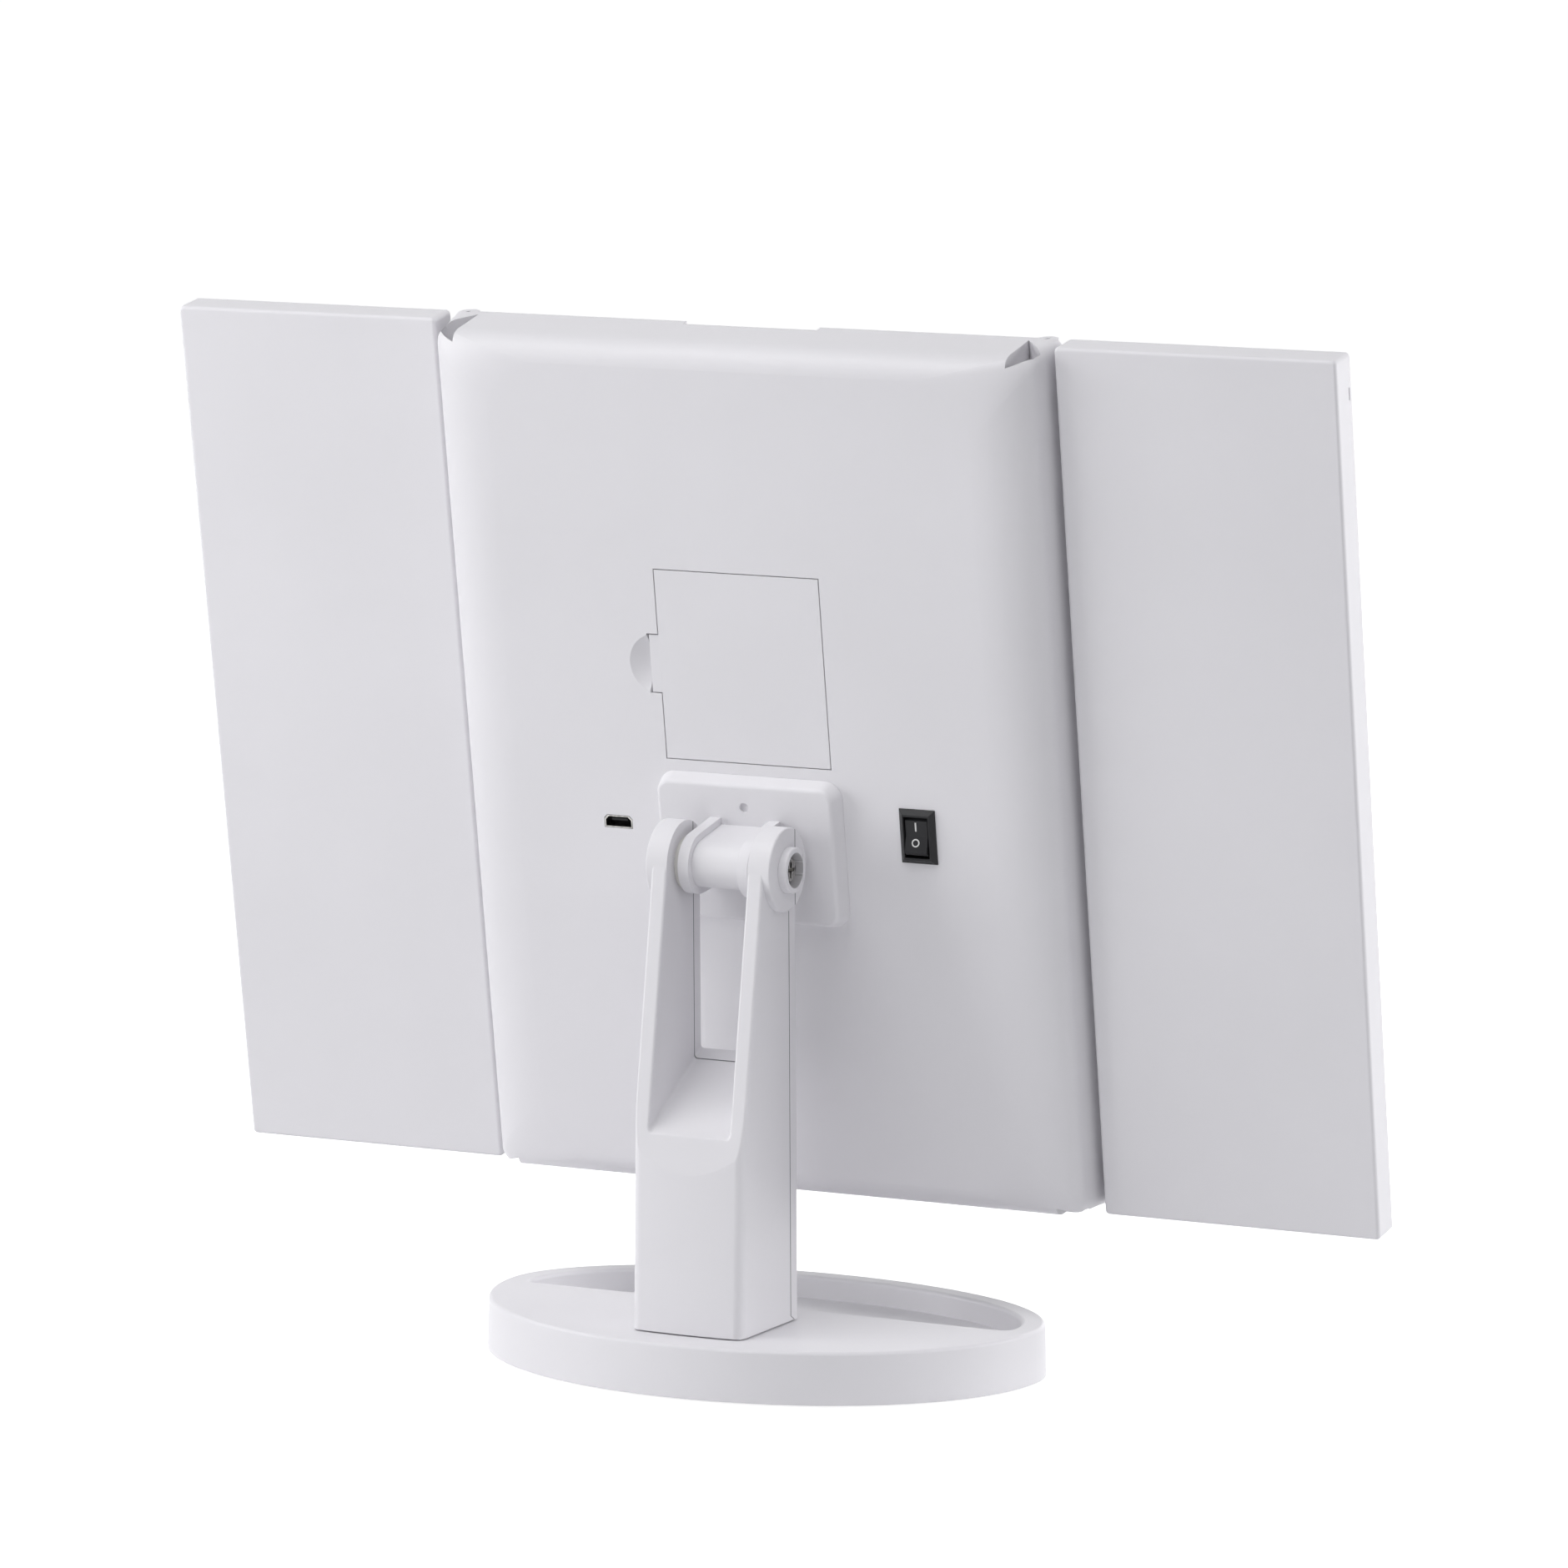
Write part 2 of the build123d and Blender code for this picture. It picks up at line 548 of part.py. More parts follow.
def led_places():
    """Middle of each LED in x and z: up the left, across the top, up the right."""
    side_x = OPEN_HALF - DIFFUSER_WIDTH / 2
    top_z = OPEN_TOP - DIFFUSER_WIDTH / 2
    low = OPEN_BOTTOM + LED_END_MARGIN
    high = top_z - 2 * LED_SLOT - 4
    places = []
    for count in range(LED_SIDE_COUNT):
        z = low + (high - low) * count / (LED_SIDE_COUNT - 1)
        places.extend([(-side_x, z), (side_x, z)])
    span = side_x - 2 * LED_SLOT - 4
    for count in range(LED_TOP_COUNT):
        places.append((-span + 2 * span * count / (LED_TOP_COUNT - 1), top_z))
    return places


def led_boards():
    side_x = OPEN_HALF - DIFFUSER_WIDTH / 2
    top_z = OPEN_TOP - DIFFUSER_WIDTH / 2
    half = LED_BOARD_WIDTH / 2
    side = rectangle(side_x - half, side_x + half, OPEN_BOTTOM + 3, top_z - half - 1)
    top = rectangle(-side_x + 1, side_x - 1, top_z - half, top_z + half)
    boards = [slab(outline, FRAME_BACK_Y + LED_BOARD_THICK, FRAME_BACK_Y) for outline in (side, top)]
    return group([boards[0], mirrored(boards[0]), boards[1]])


def leds():
    chips = []
    for x, z in led_places():
        body = block(x - LED_SIZE[0] / 2, x + LED_SIZE[0] / 2, FRAME_BACK_Y - LED_SIZE[1], FRAME_BACK_Y,
                     z - LED_SIZE[2] / 2, z + LED_SIZE[2] / 2)
        chips.append(body)
    return group(chips)


def touch_sensor():
    return rod("y", TOUCH_R, (0, GLASS_BACK_Y, GLASS_BOTTOM + TOUCH_RISE + FRAME_LEDGE), TOUCH_THICK)


def hinge_pins():
    pins = []
    for end, inward in ((PANEL_TOP, -1), (PANEL_BOTTOM, 1)):
        length = HINGE_ZONE - RIB - PIN_SINK
        pin = rod("z", PIN_R, (HINGE_X, HINGE_Y, end + inward * PIN_SINK), inward * length)
        pins.extend([pin, mirrored(pin)])
    return group(pins)


# ---- Battery bay ---------------------------------------------------------------------------------
def battery_holder():
    half = BAY_WIDTH / 2
    low = DOOR_MID - BAY_HEIGHT / 2
    high = DOOR_MID + BAY_HEIGHT / 2
    flange = rectangle(-half - 3, half + 3, low - 3, high + 3)
    outer = rectangle(-half - BAY_WALL, half + BAY_WALL, low - BAY_WALL, high + BAY_WALL)
    inner = rectangle(-half, half, low, high)
    tub = slab(flange, INNER_Y, INNER_Y - BAY_WALL) + slab(outer, INNER_Y, BAY_FLOOR_Y - BAY_WALL)
    tub -= slab(inner, INNER_Y + 1, BAY_FLOOR_Y)
    pitch = BAY_WIDTH / CELLS
    for cell in range(1, CELLS):
        x = -half + cell * pitch
        tub += block(x - CELL_RIB[0] / 2, x + CELL_RIB[0] / 2, BAY_FLOOR_Y, BAY_FLOOR_Y + CELL_RIB[1],
                     low + 4, high - 4)
    for z in door_hook_places():
        tub -= block(-half - 4, -half + 1, INNER_Y + 1, INNER_Y - 2 * DOOR_HOOK[2] - GAP,
                     z - DOOR_HOOK[0] / 2 - GAP, z + DOOR_HOOK[0] / 2 + GAP)
    catch_half = CATCH_WIDTH / 2 + 2 * GAP
    tub -= block(half + BAY_WALL, half + 5, INNER_Y + 1, INNER_Y - BAY_WALL - 1,
                 DOOR_MID - catch_half, DOOR_MID + catch_half)
    tub -= scoop_ball(SCOOP_SKIN + SCREW_FIT)
    return tub


def spring_contact():
    """A conical contact spring as one turned body with a ridge for each coil, standing up +Z."""
    coil = SPRING_LENGTH / SPRING_COILS
    points = [(0, -0.1)]
    for turn in range(SPRING_COILS):
        radius = SPRING_R - SPRING_STEP * turn
        points.extend([(radius - SPRING_WIRE, coil * turn - 0.1), (radius, coil * (turn + 0.5))])
    points.extend([(radius - SPRING_WIRE, SPRING_LENGTH), (0, SPRING_LENGTH)])
    profile = Plane.XZ * Polygon(*points, align=None)
    return revolve(profile, Axis.Z)


def battery_contacts():
    """Plates at both ends of each cell; every second one at an end carries a spring."""
    parts = []
    pitch = BAY_WIDTH / CELLS
    middle_y = BAY_FLOOR_Y + BAY_DEPTH / 2
    for cell in range(CELLS):
        x = -BAY_WIDTH / 2 + (cell + 0.5) * pitch
        for end in (-1, 1):
            wall_z = DOOR_MID + end * BAY_HEIGHT / 2
            half = CONTACT_SIZE[0] / 2
            plate = block(x - half, x + half, middle_y - half, middle_y + half,
                          wall_z, wall_z - end * CONTACT_SIZE[1])
            if (cell % 2 == 0) == (end < 0):
                turn = Rot(180, 0, 0) if end > 0 else Rot(0, 0, 0)
                plate += Pos(x, middle_y, wall_z - end * CONTACT_SIZE[1]) * turn * spring_contact()
            else:
                plate += rod("z", 2.0, (x, middle_y, wall_z - end * CONTACT_SIZE[1]), -end * 0.7)
            parts.append(plate)
    return group(parts)


def door_hook_places():
    return (DOOR_MID - DOOR_HOOK_SPREAD, DOOR_MID + DOOR_HOOK_SPREAD)


def battery_door():
    low = DOOR_MID - DOOR_HEIGHT / 2
    high = DOOR_MID + DOOR_HEIGHT / 2
    door = slab(rectangle(-DOOR_X, DOOR_X, low, high), BACK_Y, BACK_Y - DOOR_THICK)
    half = CATCH_WIDTH / 2
    top_y = BACK_Y - 0.3
    door += block(DOOR_X - 1, CATCH_OUT, top_y, top_y - CATCH_THICK, DOOR_MID - half, DOOR_MID + half)
    door += block(CATCH_OUT - CATCH_THICK, CATCH_OUT, top_y, top_y - CATCH_DROP,
                  DOOR_MID - half, DOOR_MID + half)
    for z in door_hook_places():
        step = block(-DOOR_X - DOOR_HOOK[1], -DOOR_X + 2, INNER_Y - SEAT, INNER_Y - SEAT - DOOR_HOOK[2],
                     z - DOOR_HOOK[0] / 2, z + DOOR_HOOK[0] / 2)
        root = block(-DOOR_X, -DOOR_X + 2, BACK_Y - DOOR_THICK, INNER_Y - SEAT - DOOR_HOOK[2],
                     z - DOOR_HOOK[0] / 2, z + DOOR_HOOK[0] / 2)
        door += step + root
    rib_y = BACK_Y - DOOR_THICK
    for z in (low + 8, high - 8):
        door += block(-BAY_WIDTH / 2 + 4, BAY_WIDTH / 2 - 4, rib_y, rib_y - 0.8, z - 0.6, z + 0.6)
    return door


# ---- Rocker switch -------------------------------------------------------------------------------
def switch_housing():
    place = Pos(SWITCH_X, SWITCH_Z)
    bezel = slab(place * Rectangle(BEZEL_WIDTH, BEZEL_HEIGHT), SWITCH_FACE_Y, BACK_Y)
    bezel = chamfer(bezel.faces().sort_by(Axis.Y)[-1].edges(), BEZEL_CHAMFER)
    body = slab(place * Rectangle(SWITCH_BODY[0], SWITCH_BODY[2]), BACK_Y, BACK_Y - SWITCH_BODY[1])
    well = place * Rectangle(ROCKER_WIDTH + 2 * ROCKER_SIDE_GAP, 2 * (ROCKER_R + GAP))
    half = SWITCH_BODY[0] / 2 + 1
    pin_hole = rod("x", ROCKER_PIN_R + SCREW_FIT, (SWITCH_X - half, ROCKER_Y, SWITCH_Z), 2 * half)
    return bezel + body - slab(well, SWITCH_FACE_Y + 1, SWITCH_FACE_Y - WELL_DEPTH) - pin_hole


def switch_rocker():
    """The rocker with two flat halves, turned so that its upper half is pressed in."""
    lip = ROCKER_R - ROCKER_LIP
    crest = ROCKER_RISE + lip * tan(radians(ROCKER_HALF_TRAVEL))
    face = Polygon(
        (0, ROCKER_RISE),
        (-lip, crest),
        (-ROCKER_R, crest - ROCKER_LIP),
        (-ROCKER_R, -ROCKER_CUT),
        (ROCKER_R, -ROCKER_CUT),
        (ROCKER_R, crest - ROCKER_LIP),
        (lip, crest),
        align=None,
    )
    outline = face & Circle(ROCKER_R)
    side_plane = Plane(origin=(ROCKER_WIDTH / 2, 0, 0), x_dir=(0, 0, 1), z_dir=(-1, 0, 0))
    rocker = extrude(side_plane * outline, ROCKER_WIDTH)
    half = SWITCH_BODY[0] / 2 - SEAT / 2
    rocker += rod("x", ROCKER_PIN_R, (-half, 0, 0), 2 * half)
    return Pos(SWITCH_X, ROCKER_Y, SWITCH_Z) * Rot(ROCKER_HALF_TRAVEL, 0, 0) * rocker


def switch_terminals():
    blades = []
    root_y = BACK_Y - SWITCH_BODY[1]
    for side in (-1, 1):
        z = SWITCH_Z + side * BLADE_PITCH / 2
        blade = block(SWITCH_X - BLADE[2] / 2, SWITCH_X + BLADE[2] / 2, root_y, root_y - BLADE[1],
                      z - BLADE[0] / 2, z + BLADE[0] / 2)
        blades.append(blade - rod("z", 0.8, (SWITCH_X, root_y - BLADE[1] + 1.6, z - 1), 2))
    return group(blades)


# ---- Socket and boards ---------------------------------------------------------------------------
def usb_outline(inset):
    """The socket's mouth: wide at the bottom, bevelled at the top."""
    half = USB_WIDTH / 2 - inset
    high = USB_HEIGHT / 2 - inset
    corner = Polygon(
        (-half, -high), (half, -high), (half, high - USB_BEVEL), (half - USB_BEVEL, high),
        (-half + USB_BEVEL, high), (-half, high - USB_BEVEL),
        align=None,
    )
    return Pos(USB_X, USB_Z) * corner


def usb_socket():
    can = slab(usb_outline(0), BACK_Y, BACK_Y - USB_DEPTH)
    return can - slab(usb_outline(USB_SKIN), BACK_Y + 1, BACK_Y - USB_DEPTH + USB_SKIN)


def usb_tongue():
    back = BACK_Y - USB_DEPTH + USB_SKIN
    foot = slab(usb_outline(USB_SKIN + 0.02), back + 0.8, back)
    tongue = block(USB_X - USB_TONGUE[0] / 2, USB_X + USB_TONGUE[0] / 2, back, back + USB_TONGUE[1],
                   USB_Z + 0.1, USB_Z + 0.1 + USB_TONGUE[2])
    return foot + tongue


def usb_board():
    low = USB_Z - USB_HEIGHT / 2
    front_y = INNER_Y - SEAT
    return block(USB_X - USB_BOARD[0] / 2, USB_X + USB_BOARD[0] / 2, front_y, front_y - USB_BOARD[1],
                 low - USB_BOARD[2], low)


def control_board():
    x, y, z = BOARD_AT
    board = Pos(x, y, z) * Box(*BOARD_SIZE)
    for side in (-1, 1):
        board -= rod("y", 1.1, (x + side * BOARD_SIZE[0] * 0.4, y - 2, z), 4)
    return board


def board_components():
    """Controller chip, driver chips, coil and capacitor on the board's front."""
    x, y, z = BOARD_AT
    face = y - BOARD_SIZE[1] / 2
    chip = block(x - 5, x + 1, face, face - 1.4, z + 2, z + 8)
    driver = block(x + 6, x + 10, face, face - 1.2, z - 8, z - 3)
    coil = rod("y", 3.0, (x - 9, face, z - 6), -2.4)
    capacitor = rod("y", 2.0, (x + 1, face, z - 6), -2.6)
    rear = y + BOARD_SIZE[1] / 2
    plug = block(x - 4, x + 8, rear, rear + 4, z + 8, z + 12)
    return group([chip, driver, coil, capacitor, plug])


# ---- Tilt bracket --------------------------------------------------------------------------------
def bracket_side_outline(radius, flare):
    """Side view of a web in y and z: round about the tilt axis, growing towards the plate."""
    web = Polygon(
        (0, radius), (0, -radius), (PLATE_FACE_Y, -radius - flare), (PLATE_FACE_Y, radius + flare),
        align=None,
    )
    return Plane.YZ * (Circle(radius) + web)


def hinge_bracket():
    foot = rounded(PLATE_WIDTH / 2, PLATE_TOP, PLATE_BOTTOM, PLATE_CORNER)
    face = rounded(PLATE_WIDTH / 2 - PLATE_DRAFT, PLATE_TOP - PLATE_DRAFT, PLATE_BOTTOM + PLATE_DRAFT,
                   PLATE_CORNER - PLATE_DRAFT)
    plate = loft([facing_front(BACK_Y) * foot, facing_front(PLATE_FACE_Y) * face], ruled=True)
    plate = fillet(plate.faces().sort_by(Axis.Y)[-1].edges(), PLATE_EDGE)
    web = extrude(bracket_side_outline(BARREL_R, WEB_FLARE), BARREL_HALF, both=True)
    cheeks = extrude(bracket_side_outline(FLANGE_R, WEB_FLARE), FLANGE_OUT, both=True)
    between = block(-BARREL_HALF, BARREL_HALF, -REACH, REACH, -REACH, REACH)
    bracket = plate + web + (cheeks - between)
    bracket -= rod("x", PIVOT_SCREW_R + SCREW_FIT, (-FLANGE_OUT - 1, 0, 0), 2 * FLANGE_OUT + 2)
    bracket -= rod("y", DIMPLE_R, (0, PLATE_FACE_Y + 1, DIMPLE_Z), -1.8)
    for x, z in bracket_screw_places():
        bracket -= rod("y", BRACKET_SCREW_R + PRESS_FIT, (x, BACK_Y - 1, z), PLATE_THICK - 0.6)
    return bracket


def bracket_screws():
    screws = []
    for x, z in bracket_screw_places():
        fastener = screw(SMALL_HEAD_R, SMALL_HEAD_THICK, BRACKET_SCREW_R, WALL + PLATE_THICK - 2.0)
        screws.append(Pos(x, INNER_Y, z) * Rot(90, 0, 0) * fastener)
    return group(screws)


# ---- Wings ---------------------------------------------------------------------------------------
def wing_outline(inset, radius):
    """The right wing's outline in x and z, pulled in by inset."""
    middle = (WING_IN + WING_OUT) / 2
    size = RectangleRounded(WING_WIDTH - 2 * inset, PANEL_HEIGHT - 2 * inset, radius)
    return Pos(middle, PANEL_MID) * size


def wing_cover():
    """The right wing's tray with its two hinge knuckles."""
    tray = slab(wing_outline(0, WING_CORNER), FRONT_Y + WING_DEPTH, FRONT_Y)
    tray = fillet(tray.faces().sort_by(Axis.Y)[-1].edges(), WING_EDGE)
    tray -= slab(wing_outline(WING_WALL, 0.6), FRONT_Y + WING_DEPTH - WING_WALL, FRONT_Y - 1)
    ledge = slab(wing_outline(WING_WALL, 0.6) - wing_outline(WING_WALL + 1.4, 0.6),
                 FRONT_Y + WING_DEPTH - WING_WALL, FRONT_Y + WING_FRAME_DEPTH)
    tray += ledge
    for end, inward in ((PANEL_TOP, -1), (PANEL_BOTTOM, 1)):
        start = end + inward * KNUCKLE_START
        knuckle = rod("z", KNUCKLE_R, (HINGE_X, HINGE_Y, start), inward * KNUCKLE_LENGTH)
        arm = block(HINGE_X, WING_IN + WING_WALL, FRONT_Y, FRONT_Y + ARM_THICK,
                    start, start + inward * KNUCKLE_LENGTH)
        bore = rod("z", PIN_R + SCREW_FIT, (HINGE_X, HINGE_Y, start - inward), inward * (KNUCKLE_LENGTH + 2))
        tray += knuckle + arm
        tray -= bore
    pry_top = PANEL_TOP - PRY_DROP
    return tray - block(WING_OUT - 1.0, WING_OUT + 1, FRONT_Y + 1.0, FRONT_Y + 1.0 + PRY_WIDTH,
                        pry_top - PRY_LENGTH, pry_top)


def wing_glass_outline(low, high, inset):
    """Outline of a glass in the right wing between two heights."""
    side = WING_FRAME_INSET + WING_BORDER + inset
    return rectangle(WING_IN + side, WING_OUT - side, low + inset, high - inset)


def wing_frame(openings):
    """The wing's inset front frame with a stepped opening for each glass."""
    frame = slab(wing_outline(WING_FRAME_INSET, 0.5), FRONT_Y + WING_FRAME_DEPTH, FRONT_Y)
    for low, high in openings:
        frame -= slab(wing_glass_outline(low, high, 0), GLASS_BACK_Y, FRONT_Y - 1)
        frame -= slab(wing_glass_outline(low, high, 3.0), FRONT_Y + WING_FRAME_DEPTH + 1, FRONT_Y - 1)
    return frame


def wing_glass(low, high, dish):
    """A glass between two heights; a magnifier's front is dished like a shallow bowl."""
    glass = slab(wing_glass_outline(low, high, SEAT), GLASS_BACK_Y, FRONT_Y + GLASS_INSET)
    front = glass.faces().sort_by(Axis.Y)[0]
    glass = chamfer(front.edges(), 0.4)
    if dish:
        reach = min(WING_WIDTH, high - low) / 2 - WING_BORDER - WING_FRAME_INSET
        ball_r = (reach ** 2 + dish ** 2) / (2 * dish)
        middle = ((WING_IN + WING_OUT) / 2, FRONT_Y + GLASS_INSET + dish - ball_r, (low + high) / 2)
        glass -= Pos(*middle) * Sphere(ball_r)
    return glass


def wing_openings():
    low = PANEL_BOTTOM + WING_FRAME_INSET + WING_BORDER
    high = PANEL_TOP - WING_FRAME_INSET - WING_BORDER
    return low, high


def magnifier_openings():
    low, high = wing_openings()
    bar_top = high - (high - low) * MAGNIFIER_SPLIT
    return (low, bar_top - WING_BAR), (bar_top, high)


# ---- Stand ---------------------------------------------------------------------------------------
def stand_side_outline():
    """Side view of the stand in y and z; the leaning rear face runs tangent into the round fork ends."""
    back = STAND_REAR + STAND_CROWN - PIVOT_Y
    height = PIVOT_Z - STAND_BREAK_Z
    lean = atan2(back, height) - asin(HEAD_R / hypot(back, height))
    body = Polygon(
        (STAND_FRONT_FOOT, BASE_TOP),
        (STAND_FRONT_TOP, PIVOT_Z),
        (PIVOT_Y, PIVOT_Z),
        (PIVOT_Y + HEAD_R * cos(lean), PIVOT_Z + HEAD_R * sin(lean)),
        (STAND_REAR + STAND_CROWN, STAND_BREAK_Z),
        (STAND_REAR + STAND_CROWN, BASE_TOP),
        align=None,
    )
    head = Pos(PIVOT_Y, PIVOT_Z) * Circle(HEAD_R)
    return Plane.YZ * (body + head)


def stand_plan_outline():
    """Level section of the column: crowned rear face between straight sides."""
    crown = ThreePointArc((-STAND_HALF, STAND_REAR), (0, STAND_REAR + STAND_CROWN), (STAND_HALF, STAND_REAR))
    sides = Polyline((STAND_HALF, STAND_REAR), (STAND_HALF, 0), (-STAND_HALF, 0), (-STAND_HALF, STAND_REAR))
    return make_face(crown + sides)


def stand_window():
    """The window between the arms, cut along the slope of its floor and open at the top."""
    slope = atan2(WINDOW_FRONT_Z - WINDOW_REAR_Z, STAND_REAR - STAND_FRONT_FOOT)
    opening = rounded(FORK_HALF, REACH, WINDOW_REAR_Z, WINDOW_CORNER)
    sheet = facing_front(STAND_REAR) * opening
    forwards = extrude(sheet, REACH / 4, dir=(0, -cos(slope), sin(slope)))
    return forwards + extrude(sheet, REACH / 4, dir=(0, cos(slope), -sin(slope)))


def foot_groove():
    """The narrow groove round the column's foot, at its sides and behind, where it stands on the deck."""
    inside = block(-STAND_HALF + FOOT_GROOVE_DEPTH, STAND_HALF - FOOT_GROOVE_DEPTH,
                   0, STAND_REAR - FOOT_GROOVE_DEPTH, 0, REACH)
    return block(-REACH, REACH, -REACH, REACH, 0, BASE_TOP + FOOT_GROOVE_HEIGHT) - inside


def stand_form():
    """The whole stand above the base as one body, before it is split into its two shells."""
    side = extrude(stand_side_outline(), STAND_HALF, both=True)
    form = side & extrude(Plane.XY * stand_plan_outline(), REACH)
    upright = form.edges().filter_by(lambda e: e.center().Y > STAND_REAR - 2 and e.length > 40
                                     and abs(e.center().X) > FORK_HALF)
    form = fillet(upright, STAND_CORNER) - stand_window() - foot_groove()
    leaning = form.edges().filter_by(lambda e: e.center().Y > PIVOT_Y + HEAD_R and e.length > 4 * HEAD_R
                                     and e.bounding_box().size.Y > ARM_EDGE)
    return fillet(leaning, ARM_EDGE)


def arm_boss(radius, proud):
    """A round boss through the right arm, centred on the tilt axis, with a soft outer edge."""
    boss = rod("x", radius, (FORK_HALF, PIVOT_Y, PIVOT_Z), STAND_HALF + proud - FORK_HALF)
    return fillet(boss.edges().sort_by(Axis.X)[-1], BOSS_EDGE)


def seam_side(keep_front):
    """The space in front of, or behind, the leaning seam between the two shells."""
    lean = (STAND_FRONT_TOP - STAND_FRONT_FOOT) / (PIVOT_Z - BASE_TOP)
    shift = SEAM_GAP if keep_front else 0
    foot = STAND_FRONT_FOOT + FRONT_SHELL_DEPTH - shift
    far = -REACH if keep_front else REACH
    outline = Polygon(
        (far, 0),
        (foot - FOOT_STEP, 0),
        (foot - FOOT_STEP, BASE_TOP),
        (foot + lean * FOOT_STEP_RISE, BASE_TOP + FOOT_STEP_RISE),
        (foot + lean * (REACH / 2 - BASE_TOP), REACH / 2),
        (far, REACH / 2),
        align=None,
    )
    return extrude(Plane.YZ * outline, REACH, both=True)


def stand_with_bosses():
    form = stand_form()
    for radius, proud in ((DISC_R, DISC_BOSS), (RING_R, RING_BOSS)):
        boss = arm_boss(radius, proud)
        form += boss
        form += mirrored(boss)
    form -= rod("x", PIVOT_SCREW_R + SCREW_FIT, (-REACH, PIVOT_Y, PIVOT_Z), 2 * REACH)
    form -= rod("x", PIVOT_BORE_R, (-SCREW_SEAT, PIVOT_Y, PIVOT_Z), -REACH)
    nut_hole = Plane(origin=(NUT_SEAT, PIVOT_Y, PIVOT_Z), z_dir=(1, 0, 0)) * RegularPolygon(
        NUT_ACROSS / 2 + 0.1, 6, major_radius=False)
    return form - extrude(nut_hole, REACH)


def column_cavity():
    """The hollow of the column, open at the seam."""
    half = STAND_HALF - STAND_WALL
    return block(-half, half, 0, STAND_REAR - STAND_WALL, BASE_TOP + STAND_WALL, CAVITY_TOP)


def stand_rear_shell(form):
    shell = (form & seam_side(False)) - column_cavity()
    for side in (-1, 1):
        x = side * COLUMN_BOSS_X
        boss = rod("z", COLUMN_BOSS_R, (x, COLUMN_BOSS_Y, BASE_TOP), COLUMN_BOSS_HEIGHT)
        web = block(x - COLUMN_WEB_THICK / 2, x + COLUMN_WEB_THICK / 2,
                    COLUMN_BOSS_Y, STAND_REAR - STAND_WALL / 2, BASE_TOP, BASE_TOP + COLUMN_BOSS_HEIGHT)
        shell += boss + web
        shell -= rod("z", SMALL_SCREW_R + PRESS_FIT, (x, COLUMN_BOSS_Y, BASE_TOP - 1), COLUMN_BOSS_HEIGHT - 3)
    return shell


def stand_front_shell(form):
    shell = form & seam_side(True)
    half = STAND_HALF - STAND_WALL - SEAT
    seam_y = STAND_FRONT_FOOT + FRONT_SHELL_DEPTH
    low = BASE_TOP + STAND_WALL + SEAT
    high = CAVITY_TOP - SEAT
    lip = block(-half, half, seam_y - LIP_REACH, seam_y + LIP_REACH, low, high)
    hollow = half - LIP_THICK
    lip -= block(-hollow, hollow, 0, REACH, low + LIP_THICK, high - LIP_THICK)
    return shell + lip


def pivot_screw():
    fastener = screw(PIVOT_HEAD_R, PIVOT_HEAD_THICK, PIVOT_SCREW_R, SCREW_SEAT + HEAD_FACE + 0.4)
    return Pos(-SCREW_SEAT, PIVOT_Y, PIVOT_Z) * Rot(0, -90, 0) * fastener


def pivot_nut():
    blank = Plane(origin=(NUT_SEAT, PIVOT_Y, PIVOT_Z), z_dir=(1, 0, 0)) * RegularPolygon(
        NUT_ACROSS / 2, 6, major_radius=False)
    nut = extrude(blank, NUT_THICK)
    return nut - rod("x", PIVOT_SCREW_R + PRESS_FIT, (0, PIVOT_Y, PIVOT_Z), REACH)


def pivot_washers():
    thick = FORK_HALF - FLANGE_OUT - 0.1
    washer = rod("x", WASHER_R, (FORK_HALF, PIVOT_Y, PIVOT_Z), -thick)
    washer -= rod("x", PIVOT_SCREW_R + SCREW_FIT, (0, PIVOT_Y, PIVOT_Z), REACH)
    return both_sides(washer)


# ---- Base ----------------------------------------------------------------------------------------
def oval(grow, z):
    """The base's outline at a height: two half ellipses that meet where it is widest."""
    middle = (0, BASE_WIDEST_Y)
    half = BASE_HALF + grow
    rear = EllipticalCenterArc(middle, half, BASE_REAR - BASE_WIDEST_Y + grow, start_angle=0, arc_size=180)
    front = EllipticalCenterArc(middle, half, BASE_FRONT + BASE_WIDEST_Y + grow, start_angle=180,
                                arc_size=180)
    return Plane.XY.offset(z) * make_face(rear + front)


def tray_block(grow, low, high):
    """The tray's form: the oval inside the rim, cut straight across behind, with rounded corners."""
    behind = block(-REACH, REACH, TRAY_REAR_Y + grow, REACH, low - 1, high + 1)
    tray = extrude(oval(grow - TRAY_RIM, low), high - low) - behind
    return fillet(tray.edges().filter_by(lambda e: e.center().Y > TRAY_REAR_Y + grow - 0.1
                                         and abs(e.center().X) > BASE_HALF / 2), TRAY_CORNER + grow)


def base_screw_places():
    return [(COVER_SCREW_X, 0), (-COVER_SCREW_X, 0), (0, -COVER_SCREW_Y)]


def column_screw_places():
    return [(-COLUMN_BOSS_X, COLUMN_BOSS_Y), (COLUMN_BOSS_X, COLUMN_BOSS_Y)]


